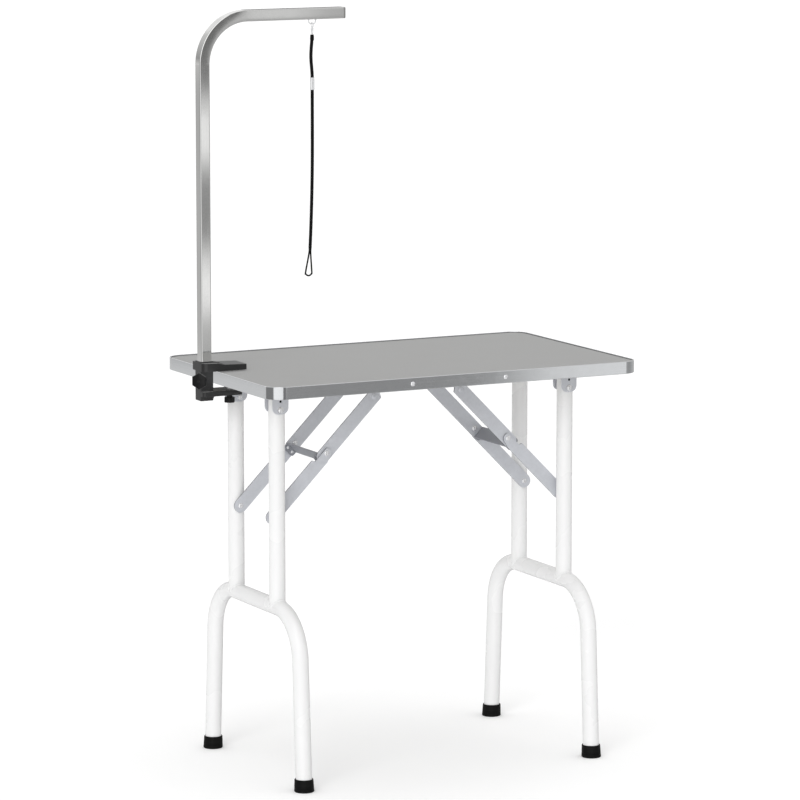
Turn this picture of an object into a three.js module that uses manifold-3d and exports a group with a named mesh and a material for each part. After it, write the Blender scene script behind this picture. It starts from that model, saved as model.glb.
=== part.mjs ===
// Folding grooming table with a clamp-on arm and a hanging noose.
// Millimetres, +Z up, the long side along X and the front at -Y. The origin is on the floor,
// under the middle of everything that stands on it (the clamp's knob reaches past the tabletop).
import * as THREE from 'three';
import { mergeVertices } from 'three/addons/utils/BufferGeometryUtils.js';
import Module from 'manifold-3d';

const wasm = await Module();
wasm.setup();

// ---- driving dimensions -------------------------------------------------------------------
const TOP = { length: 810, depth: 494, corner: 34, height: 801 };
const BAND = { height: 24.5, wall: 1.2, rim: 2.2, lip: 5 };
const MAT_THICKNESS = 2;
const BOARD_THICKNESS = 18.7;
const GAP = 0.3;                       // between parts that touch

const TUBE = { radius: 16, wall: 1.4 };
const LEG = { x: 320, pivotZ: 734.5, postY: 93.5, postTop: 770, crossbarZ: 343 };
const SPLAY = 0.0589;                  // sideways lean of the lower legs, per unit of height
const FOOT = { y: 210.6, bend: 95, tubeEnd: 6 };
const CAP = { height: 25, bottomRadius: 19.8, topRadius: 18.4, floor: 4.2 };

const EAR = { width: 34, bottomZ: 726, corner: 13, thickness: 2, offset: 16.4, baseReach: 30 };
const BOLT = { radius: 3.5, headRadius: 5.2, headHeight: 2.6 };

const STAY = { width: 28, thickness: 3, topX: 96.5, topZ: 741, legZ: 518, kneeFromTop: 149.5 };
const STAY_TAIL = 9;                   // the upper stay's round end is centred this far past the knee
const STAY_OUTER_Y = 74.5;             // outer face of the lower stay
const NOTCH = { depth: 6.5, length: 28, ramp: 3, kneeRadius: 10.5 };
const STRAP = { fromKnee: 10.3, thickness: 2.5, flange: 11.5 };
const RIVET = { radius: 3, headRadius: 5.4, headHeight: 1.8 };
const PIN = { radius: 4, headRadius: 6.2, headHeight: 2 };

const ARM = { size: 22, wall: 1.5, corner: 2.5, x: -419.5, y: 23, top: 1500, bend: 92, end: -120 };
const ARM_FOOT_Z = 746;
const PLUG = { flange: 4, stem: 16, play: 0.8 };

const CLAMP = { x: -420, spine: 27, bottomZ: 743, collarZ: 820.5, jawEndX: -340, jawHalf: 26 };
const UPPER_JAW = [[-340, 812.6], [-386, 814], [-402, 817.2], [-433.5, 818]];  // its top, as X and Z
const POCKET = { length: 22, half: 12, floorZ: 805 };
const LOWER_JAW = { bottomZ: 752.5, topZ: 762, tipX: -350, tipTopZ: 757, chamferX: -362 };
const LOCK = { z: 783.5, angle: 48, from: 19.5, thickness: 10, radius: 16.8, screw: 3.2 };
const SCREW = { x: -366, radius: 4, knobRadius: 10.8, knobBottom: 735, knobTop: 745.5 };
const PAD = { radius: 9, thickness: 4 };

const EYE = { x: -184, width: 15, wire: 2.2, bottomZ: 1468.6 };
const SNAP = { ring: 5.4, wire: 2, swivelZ: 1457.5, eyeRadius: 4.2 };
const CORD = { radius: 1.7, pitch: 3.6, bottomZ: 973, drift: 9, sway: 2.6, loopHalf: 7 };
const FERRULE = { bottomZ: 1340, height: 24, wall: 0.8 };

// ---- sizes that follow from them ----------------------------------------------------------
const bandBottom = TOP.height - BAND.height;
const boardBottom = bandBottom + BAND.wall + GAP;
const boardTop = boardBottom + BOARD_THICKNESS;
const platesTop = boardBottom - GAP;
const lockDir = new THREE.Vector3(
  -Math.sin(THREE.MathUtils.degToRad(LOCK.angle)), -Math.cos(THREE.MathUtils.degToRad(LOCK.angle)), 0);
const lockReach = LOCK.from + LOCK.thickness;
const knobReachX = -CLAMP.x - lockDir.x * lockReach - lockDir.y * LOCK.radius;
const frameShiftX = (knobReachX - TOP.length / 2) / 2;
const clampTube = CLAMP.spine / 2;

// ---- materials ----------------------------------------------------------------------------
const paint = (color, roughness, metalness) => (
  new THREE.MeshStandardMaterial({ color, roughness, metalness }));
const MATERIAL = {
  mat: paint(0xa3a3a1, 0.85, 0), board: paint(0xb59a72, 0.8, 0), band: paint(0xb7bcc3, 0.3, 1),
  white: paint(0xf2f2f2, 0.25, 0), stay: paint(0xb5b8c2, 0.4, 1), strap: paint(0x7d8088, 0.45, 1),
  rivet: paint(0xd4d5d8, 0.25, 1), foot: paint(0x1e1e1e, 0.8, 0), arm: paint(0xb9b9b8, 0.25, 1),
  clamp: paint(0x2d2d2e, 0.5, 0), plug: paint(0x9c9c9a, 0.6, 0), cord: paint(0x151515, 0.9, 0),
};

const object = new THREE.Group();
object.position.x = frameShiftX;

function add(name, geometry, material) {
  const mesh = new THREE.Mesh(geometry, material);
  mesh.name = name;
  object.add(mesh);
  return mesh;
}

// ---- solids -------------------------------------------------------------------------------
function toSolid(geometry) {
  const bare = new THREE.BufferGeometry();
  bare.setAttribute('position', geometry.getAttribute('position').clone());
  if (geometry.index) bare.setIndex(geometry.index.clone());
  const merged = mergeVertices(bare, 1e-4);
  return new wasm.Manifold(new wasm.Mesh({
    numProp: 3,
    vertProperties: new Float32Array(merged.getAttribute('position').array),
    triVerts: new Uint32Array(merged.index.array),
  }));
}

function toGeometry(solid) {
  const mesh = solid.getMesh();
  const geometry = new THREE.BufferGeometry();
  geometry.setAttribute('position', new THREE.Float32BufferAttribute(mesh.vertProperties, 3));
  geometry.setIndex(new THREE.Uint32BufferAttribute(mesh.triVerts, 1));
  geometry.computeVertexNormals();
  return geometry;
}

function join(first, ...others) {
  return others.reduce((sum, other) => sum.add(toSolid(other)), toSolid(first));
}

function cut(solid, ...tools) {
  return tools.reduce((rest, tool) => rest.subtract(toSolid(tool)), solid);
}

function extrude(shape, depth, curveSegments = 5) {
  return new THREE.ExtrudeGeometry(shape, { depth, bevelEnabled: false, curveSegments });
}

// A shape drawn in X and Z, made solid between two Y values.
function plateXZ(shape, y0, y1, curveSegments = 5) {
  return extrude(shape, y1 - y0, curveSegments).rotateX(Math.PI / 2).translate(0, y1, 0);
}

function slab(x0, x1, y0, y1, z0, z1) {
  return new THREE.BoxGeometry(x1 - x0, y1 - y0, z1 - z0)
    .translate((x0 + x1) / 2, (y0 + y1) / 2, (z0 + z1) / 2);
}

function roundedRect(x0, y0, x1, y1, r) {
  const s = new THREE.Shape();
  s.moveTo(x0 + r, y0);
  s.lineTo(x1 - r, y0);
  s.absarc(x1 - r, y0 + r, r, -Math.PI / 2, 0, false);
  s.lineTo(x1, y1 - r);
  s.absarc(x1 - r, y1 - r, r, 0, Math.PI / 2, false);
  s.lineTo(x0 + r, y1);
  s.absarc(x0 + r, y1 - r, r, Math.PI / 2, Math.PI, false);
  s.lineTo(x0, y0 + r);
  s.absarc(x0 + r, y0 + r, r, Math.PI, 1.5 * Math.PI, false);
  return s;
}

function roundSection(radius, innerRadius = 0, sides = 12) {
  const ring = (r) => Array.from({ length: sides }, (_, i) => {
    const a = (i / sides) * 2 * Math.PI;
    return new THREE.Vector2(r * Math.cos(a), r * Math.sin(a));
  });
  const section = new THREE.Shape(ring(radius));
  if (innerRadius) section.holes.push(new THREE.Path(ring(innerRadius)));
  return section;
}

function cylinderAlong(axis, radius, from, to, centre, sides = 16) {
  const height = to - from;
  const g = new THREE.CylinderGeometry(radius, radius, height, sides);
  const direction = axis.clone().normalize();
  g.applyQuaternion(new THREE.Quaternion().setFromUnitVectors(new THREE.Vector3(0, 1, 0), direction));
  const middle = centre.clone().addScaledVector(direction, (from + to) / 2);
  return g.translate(middle.x, middle.y, middle.z);
}

function lathe(profile, sides = 16) {
  const points = profile.map(([r, z]) => new THREE.Vector2(r, z));
  return new THREE.LatheGeometry(points, sides).rotateX(Math.PI / 2);
}

// A path through given points, sampled exactly at those points.
class Route extends THREE.Curve {
  constructor(points) {
    super();
    this.points = points;
  }

  get steps() { return this.points.length - 1; }

  getPoint(t, target = new THREE.Vector3()) {
    const at = t * this.steps;
    const i = Math.min(Math.floor(at), this.steps - 1);
    return target.copy(this.points[i]).lerp(this.points[i + 1], at - i);
  }

  getPointAt(u, target) { return this.getPoint(u, target); }

  getSpacedPoints() { return this.points.map((p) => p.clone()); }

  getTangentAt(u, target = new THREE.Vector3()) {
    const i = Math.round(u * this.steps);
    const before = this.points[Math.max(i - 1, 0)];
    const after = this.points[Math.min(i + 1, this.steps)];
    return target.copy(after).sub(before).normalize();
  }
}

function sweep(section, points) {
  const route = new Route(points);
  return new THREE.ExtrudeGeometry(section, {
    steps: route.steps, bevelEnabled: false, extrudePath: route });
}

// Points of a round bend between two straight runs that meet at a corner.
function bendPoints(before, corner, after, radius, count) {
  const a = before.clone().sub(corner).normalize();
  const b = after.clone().sub(corner).normalize();
  const half = a.angleTo(b) / 2;
  const centre = a.clone().add(b).normalize().multiplyScalar(radius / Math.sin(half)).add(corner);
  const start = corner.clone().addScaledVector(a, radius / Math.tan(half));
  const end = corner.clone().addScaledVector(b, radius / Math.tan(half));
  const u = start.clone().sub(centre);
  const v = end.clone().sub(centre);
  const total = u.angleTo(v);
  return Array.from({ length: count + 1 }, (_, i) => {
    const t = i / count;
    const wu = Math.sin((1 - t) * total) / Math.sin(total);
    const wv = Math.sin(t * total) / Math.sin(total);
    return centre.clone().addScaledVector(u, wu).addScaledVector(v, wv);
  });
}

// ---- tabletop -----------------------------------------------------------------------------
function tabletop() {
  const [hx, hy] = [TOP.length / 2, TOP.depth / 2];
  const outline = (inset) => roundedRect(
    -hx + inset, -hy + inset, hx - inset, hy - inset, TOP.corner - inset);
  const core = BAND.wall + GAP;
  const board = extrude(outline(core), BOARD_THICKNESS).translate(0, 0, boardBottom);
  add('tabletop_board', board, MATERIAL.board);
  add('rubber_mat', extrude(outline(core), MAT_THICKNESS).translate(0, 0, boardTop + GAP), MATERIAL.mat);
  const ring = (inset, z0, z1) => {
    const shape = outline(0);
    shape.holes.push(outline(inset));
    return extrude(shape, z1 - z0).translate(0, 0, z0);
  };
  const band = join(
    ring(BAND.wall, bandBottom, TOP.height),
    ring(BAND.rim, TOP.height - BAND.wall, TOP.height),
    ring(BAND.lip, bandBottom, bandBottom + BAND.wall));
  add('edge_band', toGeometry(band), MATERIAL.band);
}

function bandScrews() {
  const along = 102;
  const headZ = bandBottom + BAND.height / 2;
  for (const [side, sy] of [['front', -1], ['rear', 1]]) {
    for (const [hand, sx] of [['left', -1], ['right', 1]]) {
      const y = sy * (TOP.depth / 2 + GAP);
      const head = lathe([[0, 0], [4.6, 0], [4, 1], [2.4, 1.7], [0, 2]], 12).rotateX(sy * -Math.PI / 2);
      add(`band_screw_${side}_${hand}`, head.translate(sx * along, y, headZ), MATERIAL.rivet);
    }
  }
}

// ---- legs ---------------------------------------------------------------------------------
function legRoute(x) {
  const cornerY = FOOT.y - SPLAY * LEG.crossbarZ;
  const footAt = (sign) => new THREE.Vector3(x, sign * (FOOT.y - SPLAY * FOOT.tubeEnd), FOOT.tubeEnd);
  const cornerAt = (sign) => new THREE.Vector3(x, sign * cornerY, LEG.crossbarZ);
  const front = bendPoints(footAt(-1), cornerAt(-1), cornerAt(1), FOOT.bend, 6);
  const rear = bendPoints(cornerAt(-1), cornerAt(1), footAt(1), FOOT.bend, 6);
  return [footAt(-1), ...front, ...rear, footAt(1)];
}

function leg(hand, sx) {
  const x = sx * LEG.x;
  const route = legRoute(x);
  const hollow = roundSection(TUBE.radius, TUBE.radius - TUBE.wall);
  add(`${hand}_leg_frame`, sweep(hollow, route), MATERIAL.white);
  const clearance = sweep(roundSection(TUBE.radius + GAP, 0, 24), route);
  for (const [end, sy] of [['front', -1], ['rear', 1]]) {
    const y = sy * LEG.postY;
    const post = extrude(roundSection(TUBE.radius, TUBE.radius - TUBE.wall), LEG.postTop - LEG.crossbarZ)
      .translate(x, y, LEG.crossbarZ);
    const bore = cylinderAlong(new THREE.Vector3(0, 1, 0), BOLT.radius + 0.4, -30, 30,
      new THREE.Vector3(x, y, LEG.pivotZ));
    add(`${hand}_post_${end}`, toGeometry(cut(toSolid(post), clearance, bore)), MATERIAL.white);
    const foot = footCap().translate(x, sy * FOOT.y, 0).applyMatrix4(lean(sy));
    add(`${hand}_foot_${end}`, foot, MATERIAL.foot);
  }
}

function footCap() {
  const bore = TUBE.radius + GAP;
  return lathe([[0, 0], [CAP.bottomRadius - 1.4, 0], [CAP.bottomRadius, 1.6], [CAP.topRadius, CAP.height],
    [bore, CAP.height], [bore, CAP.floor], [0, CAP.floor]], 16);
}

// Leans a foot inward as it rises, and keeps its sole flat on the floor.
function lean(sy) {
  const shear = new THREE.Matrix4();
  shear.elements[9] = -sy * SPLAY;
  return shear;
}

// ---- hinge brackets under the top ---------------------------------------------------------
function legBracket(hand, sx, end, sy) {
  const x = sx * LEG.x;
  const y = sy * LEG.postY;
  const half = EAR.width / 2;
  const outline = new THREE.Shape();
  outline.moveTo(x - half, platesTop - EAR.thickness);
  outline.lineTo(x - half, EAR.bottomZ + EAR.corner);
  const roundZ = EAR.bottomZ + EAR.corner;
  outline.absarc(x - half + EAR.corner, roundZ, EAR.corner, Math.PI, 1.5 * Math.PI, false);
  outline.absarc(x + half - EAR.corner, roundZ, EAR.corner, 1.5 * Math.PI, 2 * Math.PI, false);
  outline.lineTo(x + half, platesTop - EAR.thickness);
  const bolt = new THREE.Path();
  bolt.absarc(x, LEG.pivotZ, BOLT.radius + GAP, 0, 2 * Math.PI, true);
  outline.holes.push(bolt);
  const outer = EAR.offset + EAR.thickness;
  const base = slab(
    x - EAR.baseReach, x + EAR.baseReach, y - outer, y + outer, platesTop - EAR.thickness, platesTop);
  const bracket = join(
    base, plateXZ(outline, y - outer, y - EAR.offset), plateXZ(outline, y + EAR.offset, y + outer));
  add(`${hand}_bracket_${end}`, toGeometry(bracket), MATERIAL.stay);
  const grip = outer + GAP;
  const profile = [[0, -grip - BOLT.headHeight], [BOLT.headRadius * 0.7, -grip - BOLT.headHeight],
    [BOLT.headRadius, -grip], [BOLT.radius, -grip], [BOLT.radius, grip],
    [BOLT.headRadius, grip], [BOLT.headRadius * 0.7, grip + BOLT.headHeight],
    [0, grip + BOLT.headHeight]];
  const bolted = lathe(profile, 10).rotateX(-Math.PI / 2).translate(x, y, LEG.pivotZ);
  add(`${hand}_leg_bolt_${end}`, bolted, MATERIAL.rivet);
}

// ---- folding stays ------------------------------------------------------------------------
// Stay axes for one side: T on the top, K the knee, L on the leg. u runs from T to L and
// v points to the leg's pivot.
function stayAxes(sx) {
  const top = new THREE.Vector2(sx * STAY.topX, STAY.topZ);
  const leg = new THREE.Vector2(sx * LEG.x, STAY.legZ);
  const u = leg.clone().sub(top).normalize();
  const v = new THREE.Vector2(-u.y * sx, u.x * sx);
  const at = (along, across) => top.clone().addScaledVector(u, along).addScaledVector(v, across);
  return { top, leg, u, v, at, knee: at(STAY.kneeFromTop, 0), length: leg.distanceTo(top) };
}

function arcPoints(along, across, radius, from, to, count = 8) {
  return Array.from({ length: count + 1 }, (_, i) => {
    const a = THREE.MathUtils.degToRad(from + ((to - from) * i) / count);
    return [along + radius * Math.cos(a), across + radius * Math.sin(a)];
  });
}

function stayShape(axes, outline, holes) {
  const shape = new THREE.Shape(outline.map(([a, c]) => axes.at(a, c)));
  for (const [along, radius] of holes) {
    const rim = arcPoints(along, 0, radius, 330, 0, 11).map(([a, c]) => axes.at(a, c));
    shape.holes.push(new THREE.Path(rim));
  }
  return shape;
}

function upperStayShape(axes) {
  const half = STAY.width / 2;
  const tail = STAY.kneeFromTop + STAY_TAIL;
  const outline = [
    [-6, half], [-half, 5], [-half, -3], [-8.5, -half], ...arcPoints(tail, 0, half, -90, 90)];
  return stayShape(axes, outline, [[0, PIN.radius + GAP], [STAY.kneeFromTop, RIVET.radius + GAP]]);
}

function lowerStayShape(axes) {
  const half = STAY.width / 2;
  const knee = STAY.kneeFromTop;
  const narrow = half - NOTCH.depth;
  const meet = THREE.MathUtils.radToDeg(Math.asin(narrow / NOTCH.kneeRadius));
  const outline = [
    [knee + NOTCH.length + NOTCH.ramp, half], [knee + NOTCH.length, narrow],
    ...arcPoints(knee, 0, NOTCH.kneeRadius, 180 - meet, 270), [knee + 12, -half],
    ...arcPoints(axes.length, 0, half, -90, 90)];
  return stayShape(axes, outline, [[knee, RIVET.radius + GAP], [axes.length, RIVET.radius + GAP]]);
}

function rivetAlongY(x, z, sy, inner, outer, collar = 0) {
  const { radius, headRadius, headHeight } = RIVET;
  const cap = (y, out) => [[headRadius * 0.6, y + out * headHeight], [headRadius, y]];
  const tip = collar ? [[collar, outer], [collar, outer + 2.2]] : cap(outer, 1).reverse();
  const end = collar ? outer + 2.2 : outer + headHeight;
  const profile = [
    [0, inner - headHeight], ...cap(inner, -1), [radius, inner], [radius, outer], ...tip, [0, end]];
  return lathe(profile, 10).rotateX(sy * -Math.PI / 2).translate(x, 0, z);
}

function stays(hand, sx) {
  const axes = stayAxes(sx);
  const { thickness } = STAY;
  const lowerInner = STAY_OUTER_Y - thickness;
  const upperOuter = lowerInner - GAP;
  const upperInner = upperOuter - thickness;
  const earOuter = upperInner - GAP;
  const mirrored = (y0, y1, sy) => (sy > 0 ? [y0, y1] : [-y1, -y0]);
  for (const [end, sy] of [['front', -1], ['rear', 1]]) {
    const upper = plateXZ(upperStayShape(axes), ...mirrored(upperInner, upperOuter, sy));
    const lower = plateXZ(lowerStayShape(axes), ...mirrored(lowerInner, STAY_OUTER_Y, sy));
    const kneeRivet = rivetAlongY(axes.knee.x, axes.knee.y, sy, upperInner - GAP, STAY_OUTER_Y + GAP);
    const legRivet = rivetAlongY(axes.leg.x, axes.leg.y, sy, lowerInner - GAP, STAY_OUTER_Y + GAP, 6);
    add(`${hand}_upper_stay_${end}`, upper, MATERIAL.stay);
    add(`${hand}_lower_stay_${end}`, lower, MATERIAL.stay);
    add(`${hand}_knee_rivet_${end}`, kneeRivet, MATERIAL.rivet);
    add(`${hand}_leg_rivet_${end}`, legRivet, MATERIAL.rivet);
    add(`${hand}_top_bracket_${end}`, topBracket(axes, sy, earOuter, upperOuter), MATERIAL.stay);
  }
  add(`${hand}_stay_strap`, strap(axes, earOuter), MATERIAL.strap);
}

function topBracket(axes, sy, earOuter, upperOuter) {
  const { x, y: z } = axes.top;
  const half = STAY.width / 2 - 1;
  const ear = new THREE.Shape();
  ear.moveTo(x - half, platesTop);
  ear.lineTo(x - half, z);
  ear.absarc(x, z, half, Math.PI, 2 * Math.PI, false);
  ear.lineTo(x + half, platesTop);
  const earInner = earOuter - STRAP.thickness;
  const sides = (y0, y1) => (sy > 0 ? [y0, y1] : [-y1, -y0]);
  const base = slab(
    x - half, x + half, ...sides(earInner - 30, earOuter), platesTop - STRAP.thickness, platesTop);
  const along = new THREE.Vector3(0, sy, 0);
  const centre = new THREE.Vector3(x, 0, z);
  const pin = cylinderAlong(along, PIN.radius, earInner, upperOuter + GAP + 1, centre);
  const headFrom = upperOuter + GAP;
  const head = cylinderAlong(along, PIN.headRadius, headFrom, headFrom + PIN.headHeight, centre);
  return toGeometry(join(base, plateXZ(ear, ...sides(earInner, earOuter)), pin, head));
}

// A flat strap between the two upper stays of a side, bent at both ends onto their tails.
function strap(axes, reach) {
  const near = STAY.kneeFromTop + STRAP.fromKnee;
  const far = near + STRAP.thickness;
  const tip = far + STRAP.flange;
  const inner = reach - STRAP.thickness;
  const outline = [[-reach, tip], [-reach, near], [reach, near], [reach, tip],
    [inner, tip], [inner, far], [-inner, far], [-inner, tip]];
  const shape = new THREE.Shape(outline.map(([y, along]) => new THREE.Vector2(y, along)));
  const half = STAY.width / 2;
  const geometry = extrude(shape, STAY.width).translate(0, 0, -half);
  const yAxis = new THREE.Vector3(0, 1, 0);
  const along = new THREE.Vector3(axes.u.x, 0, axes.u.y);
  const across = yAxis.clone().cross(along);
  const place = new THREE.Matrix4().makeBasis(yAxis, along, across)
    .setPosition(axes.top.x, 0, axes.top.y);
  return geometry.applyMatrix4(place);
}

// ---- arm and clamp ------------------------------------------------------------------------
function arm() {
  const axisZ = ARM.top - ARM.size / 2;
  const foot = new THREE.Vector3(ARM.x, ARM.y, ARM_FOOT_Z);
  const corner = new THREE.Vector3(ARM.x, ARM.y, axisZ);
  const end = new THREE.Vector3(ARM.end, ARM.y, axisZ);
  const half = ARM.size / 2;
  const section = roundedRect(-half, -half, half, half, ARM.corner);
  const inside = half - ARM.wall;
  section.holes.push(roundedRect(-inside, -inside, inside, inside, ARM.corner - ARM.wall));
  const route = new Route([foot, ...bendPoints(foot, corner, end, ARM.bend, 10), end]);
  const tube = new THREE.ExtrudeGeometry(section, {
    steps: route.steps, bevelEnabled: false, curveSegments: 1, extrudePath: route });
  add('arm_tube', tube, MATERIAL.arm);
  const stem = inside - PLUG.play;
  const plug = join(
    slab(ARM.end + GAP, ARM.end + GAP + PLUG.flange,
      ARM.y - half, ARM.y + half, axisZ - half, axisZ + half),
    slab(ARM.end - PLUG.stem, ARM.end + 1, ARM.y - stem, ARM.y + stem, axisZ - stem, axisZ + stem));
  add('arm_end_plug', toGeometry(plug), MATERIAL.plug);
}

function clampBody() {
  const [x, y, h] = [CLAMP.x, ARM.y, clampTube];
  const spine = slab(x - h, x + h, y - h, y + h, CLAMP.bottomZ, CLAMP.collarZ);
  const plateBottom = TOP.height + GAP;
  const profile = (points) => new THREE.Shape(points.map(([a, b]) => new THREE.Vector2(a, b)));
  const plate = profile([[x - h, plateBottom], [CLAMP.jawEndX, plateBottom], ...UPPER_JAW]);
  const jaw = profile([[x - h, LOWER_JAW.bottomZ], [LOWER_JAW.tipX, LOWER_JAW.bottomZ],
    [LOWER_JAW.tipX, LOWER_JAW.tipTopZ], [LOWER_JAW.chamferX, LOWER_JAW.topZ], [x - h, LOWER_JAW.topZ]]);
  const centre = new THREE.Vector3(x, y, LOCK.z);
  const boss = cylinderAlong(lockDir, 9, 6, LOCK.from - GAP, centre);
  const [front, rear] = [y - CLAMP.jawHalf, y + CLAMP.jawHalf];
  const body = join(spine, plateXZ(plate, front, rear), plateXZ(jaw, front, rear), boss);
  const backCorner = slab(x - h - 1, x, y + h, rear + 1, LOWER_JAW.bottomZ - 1, LOWER_JAW.topZ + 1);
  const frontCorner = cornerCut(x - h, front, 12, 730, 830);
  const sleeve = ARM.size / 2 + 0.4;
  const through = slab(
    ARM.x - sleeve, ARM.x + sleeve, y - sleeve, y + sleeve, CLAMP.bottomZ - 5, CLAMP.collarZ + 5);
  const pocket = slab(ARM.x + sleeve - 1, x + h + POCKET.length, y - POCKET.half, y + POCKET.half,
    POCKET.floorZ, CLAMP.collarZ + 5);
  const lockBore = cylinderAlong(lockDir, LOCK.screw + GAP, 8, 40, centre);
  const screwBore = cylinderAlong(new THREE.Vector3(0, 0, 1), SCREW.radius + GAP, 740, 770,
    new THREE.Vector3(SCREW.x, y, 0));
  add('clamp_body', toGeometry(
    cut(body, through, pocket, lockBore, screwBore, backCorner, frontCorner)), MATERIAL.clamp);
}

// What a rounded corner leaves out of a square one, for a corner at the lowest x and y.
function cornerCut(x, y, radius, z0, z1) {
  const shape = new THREE.Shape();
  shape.moveTo(x - 1, y - 1);
  shape.lineTo(x + radius, y - 1);
  shape.lineTo(x + radius, y);
  shape.absarc(x + radius, y + radius, radius, -Math.PI / 2, -Math.PI, true);
  shape.lineTo(x - 1, y + radius);
  return extrude(shape, z1 - z0).translate(0, 0, z0);
}

function lockKnob() {
  const lobes = 6;
  const shape = new THREE.Shape(Array.from({ length: 48 }, (_, i) => {
    const a = (i / 48) * 2 * Math.PI;
    const r = LOCK.radius - 1 + Math.cos(lobes * a);
    return new THREE.Vector2(r * Math.cos(a), r * Math.sin(a));
  }));
  const knob = extrude(shape, LOCK.thickness);
  knob.applyQuaternion(new THREE.Quaternion().setFromUnitVectors(new THREE.Vector3(0, 0, 1), lockDir));
  const centre = new THREE.Vector3(CLAMP.x, ARM.y, LOCK.z);
  const base = centre.clone().addScaledVector(lockDir, LOCK.from);
  knob.translate(base.x, base.y, base.z);
  const tip = Math.SQRT2 * (ARM.size / 2) - 0.2;
  const shank = cylinderAlong(lockDir, LOCK.screw, tip, LOCK.from + 1, centre, 10);
  add('arm_lock_knob', toGeometry(join(knob, shank)), MATERIAL.clamp);
}

function clampScrew() {
  const padTop = bandBottom - GAP;
  const padBottom = padTop - PAD.thickness;
  const { x, radius, knobRadius, knobBottom, knobTop } = SCREW;
  const place = (g) => g.translate(x, ARM.y, 0);
  const disc = lathe([[0, padBottom], [PAD.radius, padBottom], [PAD.radius, padTop], [0, padTop]], 16);
  add('clamp_pad', place(disc), MATERIAL.clamp);
  const profile = [[0, knobBottom], [knobRadius - 2, knobBottom], [knobRadius, knobBottom + 2],
    [knobRadius, knobTop - 1.5], [knobRadius - 2, knobTop], [6, knobTop], [radius, knobTop + 5],
    [radius, padBottom - GAP], [0, padBottom - GAP]];
  add('clamp_screw', place(lathe(profile, 16)), MATERIAL.clamp);
}

// ---- wire eye, snap hook and noose --------------------------------------------------------
function wireEye() {
  const half = EYE.width / 2;
  const top = ARM.top - ARM.size - GAP;
  const at = (x, z) => new THREE.Vector3(EYE.x + x, ARM.y, z);
  const corners = [at(-half, top), at(-half, EYE.bottomZ), at(half, EYE.bottomZ), at(half, top)];
  const route = [corners[0], ...bendPoints(corners[0], corners[1], corners[2], 6.2, 5),
    ...bendPoints(corners[1], corners[2], corners[3], 6.2, 5), corners[3]];
  add('wire_eye', sweep(roundSection(EYE.wire / 2, 0, 8), route), MATERIAL.rivet);
}

function ringPoints(centre, radius, from, to, count) {
  return Array.from({ length: count + 1 }, (_, i) => {
    const a = THREE.MathUtils.degToRad(from + ((to - from) * i) / count);
    return new THREE.Vector3(EYE.x, ARM.y + radius * Math.sin(a), centre + radius * Math.cos(a));
  });
}

function snapHook() {
  const wire = SNAP.wire / 2;
  const hookCentre = EYE.bottomZ + EYE.wire / 2 + GAP + wire - (SNAP.ring - wire);
  const hook = ringPoints(hookCentre, SNAP.ring - wire, -180, 90, 14);
  const section = roundSection(wire, 0, 8);
  const stemTop = hookCentre - SNAP.ring + wire;
  const { swivelZ } = SNAP;
  const stem = lathe(
    [[0, swivelZ], [2.6, swivelZ], [2.6, swivelZ + 1.6], [1.2, stemTop], [0, stemTop]], 10)
    .translate(EYE.x, ARM.y, 0);
  add('snap_hook', toGeometry(join(sweep(section, hook), stem)), MATERIAL.rivet);
  const gate = ringPoints(hookCentre, SNAP.ring - wire, 107, 158, 4);
  add('snap_gate', sweep(roundSection(0.8, 0, 8), gate), MATERIAL.rivet);
  const eyeCentre = swivelZ - GAP - 1.6 - SNAP.eyeRadius + wire;
  const collarTop = swivelZ - GAP;
  const collar = lathe([[0, collarTop - 1.8], [2.4, collarTop - 1.8], [2.4, collarTop], [0, collarTop]], 10)
    .translate(EYE.x, ARM.y, 0);
  const ring = new THREE.TorusGeometry(SNAP.eyeRadius - wire, wire * 0.9, 6, 12).rotateY(Math.PI / 2)
    .translate(EYE.x, ARM.y, eyeCentre);
  add('swivel_eye', toGeometry(join(ring, collar)), MATERIAL.rivet);
  return eyeCentre - SNAP.eyeRadius;
}

// The noose hangs as two strands from the swivel eye to a narrow loop. It bows a little above
// the slide and drifts to one side below it.
function noose(topZ) {
  const straightTo = 1250;
  const slideTop = FERRULE.bottomZ + FERRULE.height;
  const half = CORD.pitch / 2;
  const aside = (z) => {
    const fall = Math.max(0, (straightTo - z) / (straightTo - CORD.bottomZ));
    const wave = Math.sin((Math.PI * Math.max(0, z - slideTop)) / (topZ - slideTop));
    return -CORD.drift * fall * fall - CORD.sway * wave * wave;
  };
  const strand = (sign) => {
    const points = [];
    for (let z = topZ - GAP; z > CORD.bottomZ + 36; z -= 13) {
      points.push(new THREE.Vector3(EYE.x + sign * half + aside(z), ARM.y, z));
    }
    return points;
  };
  const left = strand(-1);
  const right = strand(1).reverse();
  const centre = new THREE.Vector3(EYE.x - CORD.drift, ARM.y, CORD.bottomZ + CORD.loopHalf + CORD.radius);
  const loop = Array.from({ length: 9 }, (_, i) => {
    const a = Math.PI * (1.05 + (0.9 * i) / 8);
    return centre.clone().add(new THREE.Vector3(Math.cos(a), 0, Math.sin(a)).multiplyScalar(CORD.loopHalf));
  });
  add('noose_cord', sweep(roundSection(CORD.radius, 0, 8), [...left, ...loop, ...right]), MATERIAL.cord);
  const reachX = half + CORD.radius + GAP;
  const reachY = CORD.radius + GAP;
  const wall = FERRULE.wall;
  const oval = (x, y) => roundedRect(-x, -y, x, y, y - 0.05);
  const outside = oval(reachX + wall, reachY + wall);
  outside.holes.push(oval(reachX, reachY));
  const slide = extrude(outside, FERRULE.height, 3).translate(EYE.x, ARM.y, FERRULE.bottomZ);
  add('noose_slide', slide, MATERIAL.rivet);
}

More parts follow.
